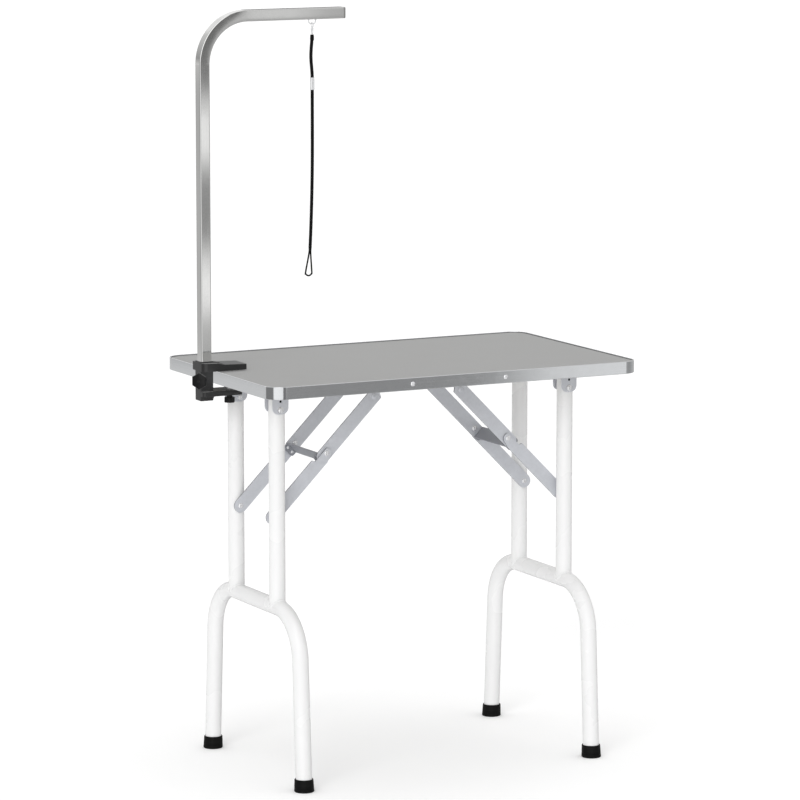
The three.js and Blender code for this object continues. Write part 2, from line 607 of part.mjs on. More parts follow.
// ---- assembly -----------------------------------------------------------------------------
tabletop();
bandScrews();
for (const [hand, sx] of [['left', -1], ['right', 1]]) {
  leg(hand, sx);
  for (const [end, sy] of [['front', -1], ['rear', 1]]) legBracket(hand, sx, end, sy);
  stays(hand, sx);
}
arm();
clampBody();
lockKnob();
clampScrew();
wireEye();
noose(snapHook());

export default object;
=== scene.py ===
"""Looks of the folding grooming table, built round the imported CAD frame.

Lengths in this script are millimetres measured from the middle of the tabletop, with Z from
the floor, unless a name says otherwise. world() turns them into the row frame in metres.
"""

import math

import bmesh
import bpy
from mathutils import Matrix, Vector

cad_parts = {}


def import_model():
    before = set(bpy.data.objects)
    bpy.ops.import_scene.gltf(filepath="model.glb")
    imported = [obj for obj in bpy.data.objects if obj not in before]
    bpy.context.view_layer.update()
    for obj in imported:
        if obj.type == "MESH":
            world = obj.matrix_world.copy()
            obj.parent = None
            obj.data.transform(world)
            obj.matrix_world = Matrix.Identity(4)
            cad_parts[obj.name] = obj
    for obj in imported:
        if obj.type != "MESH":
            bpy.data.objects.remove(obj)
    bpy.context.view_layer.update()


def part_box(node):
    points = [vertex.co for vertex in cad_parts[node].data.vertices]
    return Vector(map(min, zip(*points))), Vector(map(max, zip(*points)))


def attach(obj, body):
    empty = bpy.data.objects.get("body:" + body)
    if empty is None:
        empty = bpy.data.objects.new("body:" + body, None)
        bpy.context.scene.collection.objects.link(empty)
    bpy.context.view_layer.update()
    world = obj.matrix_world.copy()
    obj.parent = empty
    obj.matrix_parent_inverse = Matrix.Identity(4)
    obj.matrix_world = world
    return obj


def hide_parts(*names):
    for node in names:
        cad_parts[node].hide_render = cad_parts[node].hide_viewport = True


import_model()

# ---- driving dimensions, the same as the CAD part's ------------------------------------------
TOP_LENGTH, TOP_DEPTH, TOP_CORNER, TOP_Z = 810, 494, 34, 801
BAND_HEIGHT, BAND_WALL, BAND_RIM, BAND_LIP = 24.5, 1.2, 2.2, 5
BOARD_THICKNESS, MAT_THICKNESS, GAP = 18.7, 2, 0.3
BAND_BOTTOM, BAND_MIDDLE, BAND_SCREW_X = TOP_Z - BAND_HEIGHT, TOP_Z - BAND_HEIGHT / 2, 102
BOARD_BOTTOM = BAND_BOTTOM + BAND_WALL + GAP
BOARD_TOP = BOARD_BOTTOM + BOARD_THICKNESS
PLATES_TOP = BOARD_BOTTOM - GAP

TUBE_R, TUBE_WALL = 16, 1.4
LEG_X, PIVOT_Z, POST_Y, POST_TOP, CROSSBAR_Z = 320, 734.5, 93.5, 770, 343
SPLAY, FOOT_Y, BEND_R, TUBE_END = 0.0589, 210.6, 95, 6
CAP_HEIGHT, CAP_BOTTOM_R, CAP_TOP_R = 25, 19.8, 18.4

EAR_WIDTH, EAR_BOTTOM, EAR_CORNER, EAR_THICKNESS, EAR_OFFSET = 34, 726, 13, 2, 16.4
EAR_HOLE_Z = 751
BRACKET_REACH, BRACKET_BEND = 30, 3
BOLT_HEAD_R, BOLT_HEAD = 5.2, 2.6

STAY_WIDTH, STAY_THICKNESS, STAY_OUTER_Y = 28, 3, 74.5
STAY_TOP = (96.5, 741)
STAY_LEG_Z, KNEE, TAIL = 518, 149.5, 9
NOTCH_DEPTH, NOTCH_LENGTH, NOTCH_RAMP, KNEE_R = 6.5, 28, 3, 10.5
STRAP_FROM_KNEE, STRAP_THICKNESS, STRAP_FLANGE = 10.3, 2.5, 11.5
STAY_INNER_Y = STAY_OUTER_Y - STAY_THICKNESS
UPPER_OUTER_Y = STAY_INNER_Y - GAP
UPPER_INNER_Y = UPPER_OUTER_Y - STAY_THICKNESS
STRAP_OUTER_Y = UPPER_INNER_Y - GAP

ARM_SIZE, ARM_CORNER, ARM_X, ARM_Y, ARM_TOP, ARM_BEND = 22, 2.5, -419.5, 23, 1500, 92
ARM_END, ARM_FOOT_Z, PLUG_FLANGE = -120, 746, 4

CLAMP_X, CLAMP_HALF, CLAMP_BOTTOM, CLAMP_COLLAR, JAW_END, JAW_HALF = -420, 13.5, 743, 820.5, -340, 26
UPPER_JAW = [(-340, 812.6), (-386, 814), (-402, 817.2), (-433.5, 818)]
POCKET_LENGTH, POCKET_HALF, POCKET_FLOOR = 22, 12, 805
LOWER_JAW = [(-350, 752.5), (-350, 757), (-362, 762)]
LOCK_Z, LOCK_ANGLE, LOCK_FROM, LOCK_THICKNESS, LOCK_R = 783.5, 48, 19.5, 10, 16.8
SCREW_X, SCREW_R, SCREW_KNOB_R, SCREW_KNOB_Z = -366, 4, 10.8, (735, 745.5)
PAD_R, PAD_THICKNESS = 9, 4

EYE_X, EYE_WIDTH, EYE_WIRE, EYE_BEND, EYE_BOTTOM = -184, 15, 2.2, 6.2, 1468.6
SNAP_RING, SNAP_WIRE, SWIVEL_Z, SWIVEL_R = 5.4, 2, 1457.5, 4.2
CORD_R, CORD_PITCH, CORD_BOTTOM, CORD_DRIFT, CORD_SWAY, CORD_LOOP = 1.7, 3.6, 973, 9, 2.6, 7
SLIDE_BOTTOM, SLIDE_HEIGHT, SLIDE_WALL = 1340, 24, 0.8

MM = 0.001
SIDES = (("left", -1), ("right", 1))
ENDS = (("front", -1), ("rear", 1))
_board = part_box("tabletop_board")
MIDDLE_X = (_board[0].x + _board[1].x) / 2


def world(p):
    """A point in millimetres from the tabletop's middle, as row-frame metres."""
    return Vector((MIDDLE_X + p[0] * MM, p[1] * MM, p[2] * MM))


# ---- camera ----------------------------------------------------------------------------------
def camera():
    data = bpy.data.cameras.new("view")
    data.lens, data.sensor_width = 197.18, 36
    data.clip_start, data.clip_end = 0.1, 200
    eye = bpy.data.objects.new("view", data)
    eye.location = (-3.92040, -7.66511, 2.03288)
    eye.rotation_euler = (math.radians(81.3204), 0, math.radians(-27.2132))
    bpy.context.scene.collection.objects.link(eye)
    bpy.context.scene.camera = eye


# ---- mesh helpers ----------------------------------------------------------------------------
def circle(radius, count, start=0.0):
    return [(radius * math.cos(start + 2 * math.pi * i / count),
             radius * math.sin(start + 2 * math.pi * i / count)) for i in range(count)]


def arc(centre, radius, first, last, count):
    """Points on an arc, angles in degrees."""
    turn = [math.radians(first + (last - first) * i / count) for i in range(count + 1)]
    return [(centre[0] + radius * math.cos(a), centre[1] + radius * math.sin(a)) for a in turn]


def turned(u, v, steps):
    """u swung round to v in equal steps, both ends included."""
    span = u.angle(v)
    return [(u * math.sin((1 - k / steps) * span) + v * math.sin(k / steps * span)) / math.sin(span)
            for k in range(steps + 1)]


def dome(radius, base, height, step, count):
    """Profile points up a dome from its rim, one for each step in degrees."""
    turn = [math.radians(step * k) for k in range(1, count + 1)]
    return [(radius * math.cos(a), base + height * math.sin(a)) for a in turn]


def rounded(points, radius, steps=4, closed=True):
    """The same corners rounded off. radius is one number or one for each corner."""
    out, count = [], len(points)
    radii = radius if hasattr(radius, "__len__") else [radius] * count
    for i, p in enumerate(points):
        if radii[i] <= 0 or not closed and i in (0, count - 1):
            out.append(tuple(p))
            continue
        p = Vector(p)
        a, b = Vector(points[i - 1]) - p, Vector(points[(i + 1) % count]) - p
        angle = a.angle(b)
        if angle > math.pi - 0.02:
            out.append(tuple(p))
            continue
        reach = min(radii[i] / math.tan(angle / 2), 0.48 * a.length, 0.48 * b.length)
        r = reach * math.tan(angle / 2)
        a.normalize(), b.normalize()
        centre = p + (a + b).normalized() * (r / math.sin(angle / 2))
        start, end = p + a * reach - centre, p + b * reach - centre
        out += [tuple(centre + w) for w in turned(start, end, steps)]
    return out


def inset(loop, distance):
    """A closed flat loop moved inwards by distance, or outwards if distance is negative."""
    area = sum(a[0] * b[1] - b[0] * a[1] for a, b in zip(loop, loop[1:] + loop[:1]))
    turn = 1 if area > 0 else -1
    out = []
    for i, p in enumerate(loop):
        before, after = Vector(loop[i - 1]), Vector(loop[(i + 1) % len(loop)])
        a, b = (Vector(p) - before).normalized(), (after - Vector(p)).normalized()
        normal = Vector((-(a + b).y, (a + b).x)).normalized() * turn
        cosine = max(0.35, normal.dot(Vector((-a.y, a.x)) * turn))
        out.append(tuple(Vector(p) + normal * (distance / cosine)))
    return out


def bridge(bm, rings, closed=True):
    """Faces between rings of vertices. A ring of one vertex is a tip."""
    for low, high in zip(rings, rings[1:]):
        count = max(len(low), len(high))
        for i in range(count if closed else count - 1):
            j = (i + 1) % count
            corners = [low[i % len(low)], low[j % len(low)], high[j % len(high)], high[i % len(high)]]
            unique = list(dict.fromkeys(corners))
            if len(unique) > 2:
                bm.faces.new(unique)


def fill(bm, loops):
    """Flat faces inside the first loop of vertices and outside the others."""
    edges = []
    for loop in loops:
        for a, b in zip(loop, loop[1:] + loop[:1]):
            edges.append(bm.edges.get((a, b)) or bm.edges.new((a, b)))
    made = bmesh.ops.triangle_fill(bm, use_beauty=True, edges=edges)["geom"]
    return [f for f in made if isinstance(f, bmesh.types.BMFace)]


def take(bm, part, place=None):
    """Moves part by place and puts it in bm."""
    if place is not None:
        bmesh.ops.transform(part, matrix=place, verts=part.verts)
    mesh = bpy.data.meshes.new("part")
    part.to_mesh(mesh)
    part.free()
    bm.from_mesh(mesh)
    bpy.data.meshes.remove(mesh)


def axes(x, y, z, origin):
    """The matrix that takes local x, y, z and 0 to these directions and this origin."""
    m = Matrix((x, y, z)).transposed().to_4x4()
    m.translation = Vector(origin)
    return m


def along(axis, origin):
    """A place whose local Z is axis."""
    z = Vector(axis).normalized()
    x = z.orthogonal().normalized() if abs(z.z) < 0.99 else Vector((1, 0, 0))
    x = (x - z * x.dot(z)).normalized()
    return axes(x, z.cross(x), z, origin)


def lathe(bm, profile, place=None, sides=48, radial=None):
    """Revolves (radius, height) pairs round local Z. radial(angle, radius) may vary it."""
    part, rings = bmesh.new(), []
    for r, h in profile:
        if r < 1e-6:
            rings.append([part.verts.new((0, 0, h))])
            continue
        ring = []
        for i in range(sides):
            a = 2 * math.pi * i / sides
            radius = r if radial is None else radial(a, r)
            ring.append(part.verts.new((radius * math.cos(a), radius * math.sin(a), h)))
        rings.append(ring)
    bridge(part, rings)
    take(bm, part, place)


def plate(bm, outline, holes, thickness, place=None, edge=0.4, steps=2):
    """A flat plate with rounded edges, from local Z 0 to thickness, with its holes."""
    part = bmesh.new()
    loops = [outline, *holes]
    levels = []
    for k in range(steps + 1):
        a = math.radians(90 * k / steps)
        levels.append((edge * (1 - math.sin(a)), edge * (1 - math.cos(a))))
    levels += [(d, thickness - z) for d, z in reversed(levels)]
    stacks = []
    for d, z in levels:
        stacks.append([[part.verts.new((x, y, z)) for x, y in inset(loop, d if i == 0 else -d)]
                       for i, loop in enumerate(loops)])
    for i in range(len(loops)):
        bridge(part, [level[i] for level in stacks])
    fill(part, stacks[0])
    fill(part, stacks[-1])
    take(bm, part, place)


def sweep(bm, path, section, side=None, closed=False, caps=True):
    """Carries (across, up) pairs along a path. side is the constant direction across a flat path."""
    path = [Vector(p) for p in path]
    part, rings, last = bmesh.new(), [], None
    for i, p in enumerate(path):
        if closed:
            tangent = path[(i + 1) % len(path)] - path[i - 1]
        else:
            tangent = path[min(i + 1, len(path) - 1)] - path[max(i - 1, 0)]
        tangent.normalize()
        if side is not None:
            across = Vector(side)
        elif last is None:
            across = tangent.orthogonal()
        else:
            across = last
        across = (across - tangent * across.dot(tangent)).normalized()
        last = across
        up = tangent.cross(across)
        pairs = section(i) if callable(section) else section
        rings.append([part.verts.new(p + across * a + up * b) for a, b in pairs])
    bridge(part, rings + rings[:1] if closed else rings)
    if caps and not closed:
        part.faces.new(rings[0])
        part.faces.new(rings[-1])
    take(bm, part)


def folded(bm, zones, fold, thickness, place, edge=0.35):
    """Sheet metal: flat zones of (s, t) outlines and strips between them, folded by fold(s)."""
    part = bmesh.new()

    def vert(s, t):
        a, b = fold(s)
        return part.verts.new((a, t, b))

    for zone in zones:
        if zone[0] == "flat":
            fill(part, [[vert(s, t) for s, t in loop] for loop in zone[1]])
        else:
            _, s0, s1, t0, t1 = zone
            rows = [[vert(s0 + (s1 - s0) * k / 6, t) for t in (t0, t1)] for k in range(7)]
            bridge(part, rows, closed=False)
    bmesh.ops.remove_doubles(part, verts=part.verts, dist=0.01)
    bmesh.ops.recalc_face_normals(part, faces=part.faces)
    bmesh.ops.transform(part, matrix=place, verts=part.verts)
    thick = temporary(part)
    solid = thick.modifiers.new("thickness", "SOLIDIFY")
    solid.thickness, solid.offset, solid.use_even_offset = thickness, 0, True
    bevel = thick.modifiers.new("edges", "BEVEL")
    bevel.width, bevel.segments, bevel.limit_method = edge, 2, "ANGLE"
    bevel.angle_limit = math.radians(50)
    take_object(bm, thick)


def temporary(part):
    mesh = bpy.data.meshes.new("temporary")
    part.to_mesh(mesh)
    part.free()
    made = bpy.data.objects.new("temporary", mesh)
    bpy.context.scene.collection.objects.link(made)
    return made


def take_object(bm, made):
    """Adds a temporary object's final mesh to bm and removes the object."""
    graph = bpy.context.evaluated_depsgraph_get()
    mesh = bpy.data.meshes.new_from_object(made.evaluated_get(graph))
    bm.from_mesh(mesh)
    bpy.data.objects.remove(made)
    bpy.data.meshes.remove(mesh)


def joined(solids, cuts, also=()):
    """A temporary object: the union of solids, less the cuts, and inside every one of also."""
    base = temporary(solids[0])
    others = []
    for operation, parts in (("UNION", solids[1:]), ("INTERSECT", also), ("DIFFERENCE", cuts)):
        for part in parts:
            tool = temporary(part)
            tool.hide_render = True
            modifier = base.modifiers.new("with", "BOOLEAN")
            modifier.operation, modifier.object, modifier.solver = operation, tool, "EXACT"
            others.append(tool)
    graph = bpy.context.evaluated_depsgraph_get()
    mesh = bpy.data.meshes.new_from_object(base.evaluated_get(graph))
    base.modifiers.clear()
    base.data = mesh
    for tool in others:
        bpy.data.objects.remove(tool)
    return base


def softened(base, voxel, passes):
    """Gives a temporary object cast corners: a fine even mesh, smoothed a little."""
    remesh = base.modifiers.new("skin", "REMESH")
    remesh.mode, remesh.voxel_size = "VOXEL", voxel
    smooth = base.modifiers.new("soft", "SMOOTH")
    smooth.factor, smooth.iterations = 0.5, passes
    return base


def solid(build, *args, **kwargs):
    """A bmesh made by one of the builders above."""
    part = bmesh.new()
    build(part, *args, **kwargs)
    bmesh.ops.recalc_face_normals(part, faces=part.faces)
    return part


def slab(x0, x1, y0, y1, z0, z1, corner=0.01):
    """A block with its upright edges rounded."""
    loop = rounded([(x0, y0), (x1, y0), (x1, y1), (x0, y1)], corner, 5)
    return solid(plate, loop, [], z1 - z0, Matrix.Translation((0, 0, z0)), 0.01, 1)


def piece(name, bm, finish, body, nodes=(), angle=32, rim=None):
    """A piece from a bmesh in millimetres, riding on a CAD body. rim is a dark material that paints
    shade on its cut edges.
    """
    bmesh.ops.remove_doubles(bm, verts=bm.verts, dist=1e-4)
    bmesh.ops.recalc_face_normals(bm, faces=bm.faces)
    for v in bm.verts:
        v.co = world(v.co)
    mesh = bpy.data.meshes.new(name)
    bm.to_mesh(mesh)
    bm.free()
    for polygon in mesh.polygons:
        polygon.use_smooth = True
    mesh.set_sharp_from_angle(angle=math.radians(angle))
    mesh.materials.append(FINISH[finish])
    # faces that do not face along Y are the edges: they take the rim material, painted shade
    if rim is not None:
        mesh.materials.append(FINISH[rim])
        for polygon in mesh.polygons:
            polygon.material_index = int(abs(polygon.normal.y) < 0.3)
    made = bpy.data.objects.new(name, mesh)
    bpy.context.scene.collection.objects.link(made)
    flats = made.modifiers.new("flats", "WEIGHTED_NORMAL")
    flats.keep_sharp, flats.weight = True, 100
    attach(made, body)
    if nodes:
        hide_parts(*nodes)
    return made


# ---- materials -------------------------------------------------------------------------------
def add_node(tree, kind, inputs=(), **settings):
    """A node with its settings, and its inputs linked to a socket or set to a value."""
    made = tree.nodes.new(kind)
    for key, value in settings.items():
        setattr(made, key, value)
    for key, value in dict(inputs).items():
        if isinstance(value, bpy.types.NodeSocket):
            tree.links.new(value, made.inputs[key])
        else:
            made.inputs[key].default_value = value
    return made


class Paint:
    """A Principled material and its node tree, with short calls for the nodes it needs."""

    def __init__(self, name, colour, roughness, metallic=0.0, **sockets):
        self.material = bpy.data.materials.new(name)
        self.material.use_nodes = True
        self.tree = self.material.node_tree
        self.shader = self.tree.nodes["Principled BSDF"]
        self.colour = colour
        self.shader.inputs["Base Color"].default_value = (*colour, 1)
        self.shader.inputs["Roughness"].default_value = roughness
        self.shader.inputs["Metallic"].default_value = metallic
        for socket, value in sockets.items():
            self.shader.inputs[socket.replace("_", " ")].default_value = value
        self.place = self.node("ShaderNodeTexCoord").outputs["Object"]

    def node(self, kind, inputs=(), **settings):
        return add_node(self.tree, kind, inputs, **settings)

    def stretched(self, x, y, z):
        return self.node("ShaderNodeMapping", {"Vector": self.place, "Scale": (x, y, z)}).outputs[0]

    def noise(self, scale, detail=3.0, rough=0.5, vector=None, distortion=0.0):
        return self.node("ShaderNodeTexNoise", {
            "Vector": vector or self.place, "Scale": scale, "Detail": detail,
            "Roughness": rough, "Distortion": distortion}).outputs["Fac"]

    def cells(self, scale, smooth):
        inputs = {"Vector": self.place, "Scale": scale, "Smoothness": smooth}
        return self.node("ShaderNodeTexVoronoi", inputs, feature="SMOOTH_F1").outputs["Distance"]

    def between(self, value, low, high, from_low=0.3, from_high=0.7):
        return self.node("ShaderNodeMapRange", {
            "Value": value, "From Min": from_low, "From Max": from_high,
            "To Min": low, "To Max": high}).outputs["Result"]

    def math(self, operation, a, b=0.0):
        return self.node("ShaderNodeMath", {0: a, 1: b}, operation=operation).outputs[0]

    def tint(self, value, low, high):
        """Base colour scaled between low and high by a 0 to 1 value."""
        dark = (*[c * low for c in self.colour], 1)
        light = (*[min(1, c * high) for c in self.colour], 1)
        factor, first, second, result = 0, 6, 7, 2
        mixed = self.node("ShaderNodeMix", {factor: value, first: dark, second: light},
                          data_type="RGBA")
        self.tree.links.new(mixed.outputs[result], self.shader.inputs["Base Color"])

    def rough(self, value, low, high, from_low=0.3, from_high=0.7):
        self.tree.links.new(
            self.between(value, low, high, from_low, from_high), self.shader.inputs["Roughness"])

    def bump(self, layers):
        """Adds (height socket, strength, depth in millimetres) layers, and returns the material."""
        normal = None
        for height, strength, depth in layers:
            inputs = {"Height": height, "Strength": strength, "Distance": depth * MM}
            if normal is not None:
                inputs["Normal"] = normal
            normal = self.node("ShaderNodeBump", inputs).outputs[0]
        self.tree.links.new(normal, self.shader.inputs["Normal"])
        return self.material


def rubber_mat():
    """Grey non-slip rubber with a fine pebble and a faint sheen of use."""
    p = Paint("rubber_mat", (0.30, 0.30, 0.296), 0.5, Specular_IOR_Level=0.45)
    pebble = p.cells(1150, 0.6)
    fine = p.noise(2600, 2)
    cloudy = p.noise(7, 4, 0.55)
    p.tint(p.between(cloudy, 0, 1, 0.35, 0.65), 0.95, 1.04)
    p.rough(cloudy, 0.40, 0.50)
    return p.bump([(pebble, 0.3, 0.14), (fine, 0.2, 0.05)])


def aluminium_band():
    """Satin aluminium strip: fine lines run along it, with small scuffs."""
    p = Paint("aluminium_band", (0.80, 0.815, 0.83), 0.1, 1.0)
    lines = p.noise(1, 3, 0.6, p.stretched(9, 9, 2600))
    scuffs = p.noise(60, 6, 0.65)
    p.tint(p.between(lines, 0, 1), 0.95, 1.03)
    p.rough(p.math("ADD", p.math("MULTIPLY", lines, 0.6), p.math("MULTIPLY", scuffs, 0.4)), 0.04, 0.10)
    return p.bump([(lines, 0.025, 0.02), (scuffs, 0.015, 0.03)])


def white_paint():
    """Gloss white powder coat with its orange peel and a few dull patches."""
    p = Paint("white_powder_coat", (0.81, 0.81, 0.81), 0.26, 0.0)
    peel = p.noise(420, 3, 0.5)
    wide = p.noise(9, 3)
    p.tint(p.between(wide, 0, 1), 0.985, 1.01)
    p.rough(wide, 0.22, 0.32)
    return p.bump([(peel, 0.12, 0.10)])


def silver_paint(name, colour, low, high):
    """Silver-grey paint with fine metal flake over rolled sheet, rubbed in patches."""
    p = Paint(name, colour, (low + high) / 2, 0.35)
    spangle = p.cells(170, 0.9)
    rolled = p.noise(1, 4, 0.6, p.stretched(900, 60, 60))
    cloudy = p.noise(38, 5, 0.6)
    mixed = p.math("ADD", p.math("MULTIPLY", spangle, 0.35), p.math("MULTIPLY", cloudy, 0.65))
    p.tint(p.between(mixed, 0, 1, 0.3, 0.65), 0.955, 1.03)
    p.rough(mixed, low, high)
    return p.bump([(rolled, 0.06, 0.02), (p.noise(900, 2), 0.1, 0.03)])


def bright_steel():
    """Nickel-bright rivets, screws and hook."""
    p = Paint("bright_steel", (0.92, 0.925, 0.94), 0.2, 0.6)
    worn = p.noise(320, 4)
    p.tint(p.between(worn, 0, 1), 0.93, 1.03)
    p.rough(worn, 0.13, 0.28)
    return p.bump([(p.noise(1600, 2), 0.08, 0.02)])


def brushed_arm():
    """Brushed stainless tube: hairlines run along it, so the gloss spreads across them."""
    p = Paint("brushed_stainless", (0.83, 0.83, 0.82), 0.1, 1.0)
    upright = p.noise(1, 4, 0.65, p.stretched(3800, 3800, 9))
    level = p.noise(1, 4, 0.65, p.stretched(9, 3800, 3800))
    height = p.node("ShaderNodeSeparateXYZ", {0: p.place}).outputs["Z"]
    bent = p.between(height, 0, 1, (ARM_TOP - 65) * MM, (ARM_TOP - 30) * MM)
    hair = p.node("ShaderNodeMix", data_type="FLOAT")
    p.tree.links.new(bent, hair.inputs[0])
    p.tree.links.new(upright, hair.inputs[2])
    p.tree.links.new(level, hair.inputs[3])
    lines = hair.outputs[0]
    scuffs = p.noise(45, 6, 0.65)
    p.tint(p.between(lines, 0, 1), 0.965, 1.02)
    p.rough(p.math("ADD", p.math("MULTIPLY", lines, 0.7), p.math("MULTIPLY", scuffs, 0.3)), 0.02, 0.06)
    return p.bump([(lines, 0.006, 0.02)])


def black_nylon(name, shade, low, high, shine):
    """Glass-filled black nylon: fine texture and faint flow marks."""
    p = Paint(name, (shade, shade, shade * 1.04), (low + high) / 2, Specular_IOR_Level=shine)
    grain = p.noise(1300, 4, 0.6)
    flow = p.noise(24, 5, 0.6, distortion=0.6)
    p.tint(p.between(flow, 0, 1), 0.8, 1.3)
    p.rough(grain, low, high)
    return p.bump([(grain, 0.16, 0.05)])


def black_rubber():
    p = Paint("black_rubber", (0.004, 0.004, 0.004), 0.6, Specular_IOR_Level=0.15)
    grain = p.noise(900, 5, 0.65)
    dust = p.noise(60, 5, 0.6)
    p.tint(p.between(dust, 0, 1, 0.4, 0.7), 0.8, 1.7)
    p.rough(dust, 0.5, 0.72)
    return p.bump([(grain, 0.3, 0.09)])


def grey_plastic():
    p = Paint("grey_plastic", (0.20, 0.20, 0.195), 0.45)
    grain = p.noise(1500, 3)
    p.tint(p.between(p.noise(30), 0, 1), 0.93, 1.06)
    p.rough(grain, 0.38, 0.52)
    return p.bump([(grain, 0.2, 0.04)])


def braided_cord():
    """Black nylon braid: two sets of yarns and a little fuzz."""
    p = Paint("braided_cord", (0.004, 0.004, 0.0042), 0.7, Specular_IOR_Level=0.2)
    yarn = p.noise(1, 2, 0.5, p.stretched(5200, 5200, 1600))
    fuzz = p.noise(3800, 4, 0.7)
    p.tint(p.between(yarn, 0, 1), 0.6, 1.9)
    p.rough(fuzz, 0.58, 0.82)
    return p.bump([(yarn, 0.5, 0.08), (fuzz, 0.3, 0.04)])


def core_board():
    """The pale sealed underside of the core board, with the fibre of the panel showing through."""
    p = Paint("core_board", (0.42, 0.405, 0.38), 0.55)
    slow = p.noise(1, 4, 0.6, p.stretched(2.2, 26, 26), 1.2)
    grain = p.noise(1, 6, 0.7, p.stretched(16, 420, 420))
    mixed = p.math("ADD", p.math("MULTIPLY", slow, 0.6), p.math("MULTIPLY", grain, 0.4))
    p.tint(p.between(mixed, 0, 1, 0.35, 0.65), 0.84, 1.1)
    p.rough(grain, 0.45, 0.66)
    return p.bump([(grain, 0.2, 0.08)])


FINISH = {
    "mat": rubber_mat(),
    "band": aluminium_band(),
    "white": white_paint(),
    "stay": silver_paint("silver_paint", (0.635, 0.65, 0.69), 0.38, 0.5),
    # painted shade: a near-black copy of the silver paint for the stays' edges
    "rim": silver_paint("stay_edge_painted_shade", (0.07, 0.072, 0.08), 0.4, 0.55),
    # painted shade: the stays' silver paint darkened for the strap
    "strap": silver_paint("strap_painted_shade", (0.31, 0.32, 0.35), 0.36, 0.48),
    "rivet": bright_steel(),
    "arm": brushed_arm(),
    "clamp": black_nylon("black_nylon", 0.014, 0.36, 0.46, 0.65),
    "grip": black_nylon("grip_nylon", 0.005, 0.3, 0.42, 0.3),
    "foot": black_rubber(),
    "rubber": black_rubber(),
    "plug": grey_plastic(),
    "cord": braided_cord(),
    "board": core_board(),
}


# ---- tabletop --------------------------------------------------------------------------------
def top_outline(distance, steps=14):
    hx, hy = TOP_LENGTH / 2 - distance, TOP_DEPTH / 2 - distance
    return rounded([(-hx, -hy), (hx, -hy), (hx, hy), (-hx, hy)], TOP_CORNER - distance, steps)


def lift(z):
    return Matrix.Translation((0, 0, z))


def tabletop():
    core = BAND_WALL + GAP
    board = solid(plate, top_outline(core), [], BOARD_THICKNESS, lift(BOARD_BOTTOM), 0.5)
    piece("core_board", board, "board", "table", ["tabletop_board"])
    mat = solid(plate, top_outline(core + 0.9), [], MAT_THICKNESS, lift(BOARD_TOP + GAP), 0.7, 3)
    piece("top_mat", mat, "mat", "table", ["rubber_mat"])
    # a thin black ring round the mat's edge, which darkens the line between mat and band
    ring = [(p[0], p[1], BOARD_TOP + GAP + 1.1) for p in top_outline(core + 0.45, 14)]
    dark_ring = solid(sweep, ring, circle(0.42, 8), None, True)
    piece("mat_edge_dark_ring", dark_ring, "rubber", "table", [])
    edge_band()
    band_screws()


def edge_band():
    """The strip round the board: a thin wall, a rolled rim above and a lip turned in below."""
    low, high = BAND_BOTTOM, TOP_Z
    profile = [(0, low), (0, high), (BAND_RIM, high), (BAND_RIM, high - BAND_WALL),
               (BAND_WALL, high - BAND_WALL), (BAND_WALL, low + BAND_WALL),
               (BAND_LIP, low + BAND_WALL), (BAND_LIP, low)]
    profile = rounded(profile, [1.1, 1.0, 0.5, 0.4, 0.3, 0.6, 0.4, 0.4], 4)
    part = bmesh.new()
    rings = [[part.verts.new((x, y, z)) for x, y in top_outline(distance)] for distance, z in profile]
    bridge(part, rings + rings[:1])
    piece("edge_strip", part, "band", "table", ["edge_band"])
    cover = bmesh.new()
    loop = rounded([(-7, -10.2), (7, -10.2), (7, 10.2), (-7, 10.2)], 2, 4)
    place = axes((-1, 0, 0), (0, 0, 1), (0, 1, 0), (0, TOP_DEPTH / 2 - 0.1, BAND_MIDDLE))
    plate(cover, loop, [], 0.9, place, 0.35)
    piece("edge_strip_joint_cover", cover, "band", "table", [])


def screw_head(bm, place, radius, height, slot_depth):
    """A domed head with a cross recess, its underside on local Z 0."""
    profile = [(0, -0.2), (radius * 0.96, -0.2), (radius, 0.25),
               *dome(radius, 0.25, height - 0.25, 9, 9)]
    head = solid(lathe, profile + [(0, height)], None, 40)
    cuts = []
    for turn in (0, 90):
        half, width = radius * 0.56, radius * 0.11
        loop = [(-half, -width), (half, -width), (half, width), (-half, width)]
        spin = Matrix.Rotation(math.radians(turn), 4, "Z")
        cuts.append(solid(plate, loop, [], slot_depth + 1, spin @ lift(height - slot_depth), 0.01, 1))
    made = joined([head], cuts)
    made.data.transform(place)
    take_object(bm, made)


def band_screws():
    for end, sy in ENDS:
        for hand, sx in SIDES:
            bm = bmesh.new()
            place = along((0, sy, 0), (sx * BAND_SCREW_X, sy * (TOP_DEPTH / 2 + 0.1), BAND_MIDDLE))
            screw_head(bm, place, 4.6, 2.1, 1.3)
            name = f"band_screw_{end}_{hand}"
            piece(f"{name}_head", bm, "rivet", "table", [name])


# ---- legs ------------------------------------------------------------------------------------
def bend(before, corner, after, radius, count):
    """Points of a round bend, and its centre."""
    a, b = (before - corner).normalized(), (after - corner).normalized()
    half = a.angle(b) / 2
    centre = corner + (a + b).normalized() * (radius / math.sin(half))
    reach = radius / math.tan(half)
    swing = turned(corner + a * reach - centre, corner + b * reach - centre, count)
    return [centre + w for w in swing], centre


def leg_route(x):
    corner_y = FOOT_Y - SPLAY * CROSSBAR_Z
    feet = [Vector((x, s * (FOOT_Y - SPLAY * TUBE_END), TUBE_END)) for s in (-1, 1)]
    corners = [Vector((x, s * corner_y, CROSSBAR_Z)) for s in (-1, 1)]
    front, _ = bend(feet[0], corners[0], corners[1], BEND_R, 28)
    rear, centre = bend(corners[0], corners[1], feet[1], BEND_R, 28)
    return [feet[0], *front, *rear, feet[1]], centre, rear[0].y


def saddle_z(dx, y, centre, bend_from, radius):
    """Height of the lower leg tube's top surface at a point, for a tube of this radius."""
    rise = math.sqrt(max(0.0, radius ** 2 - dx ** 2))
    if abs(y) <= bend_from:
        return CROSSBAR_Z + rise
    return centre.z + math.sqrt((BEND_R + rise) ** 2 - (abs(y) - centre.y) ** 2)


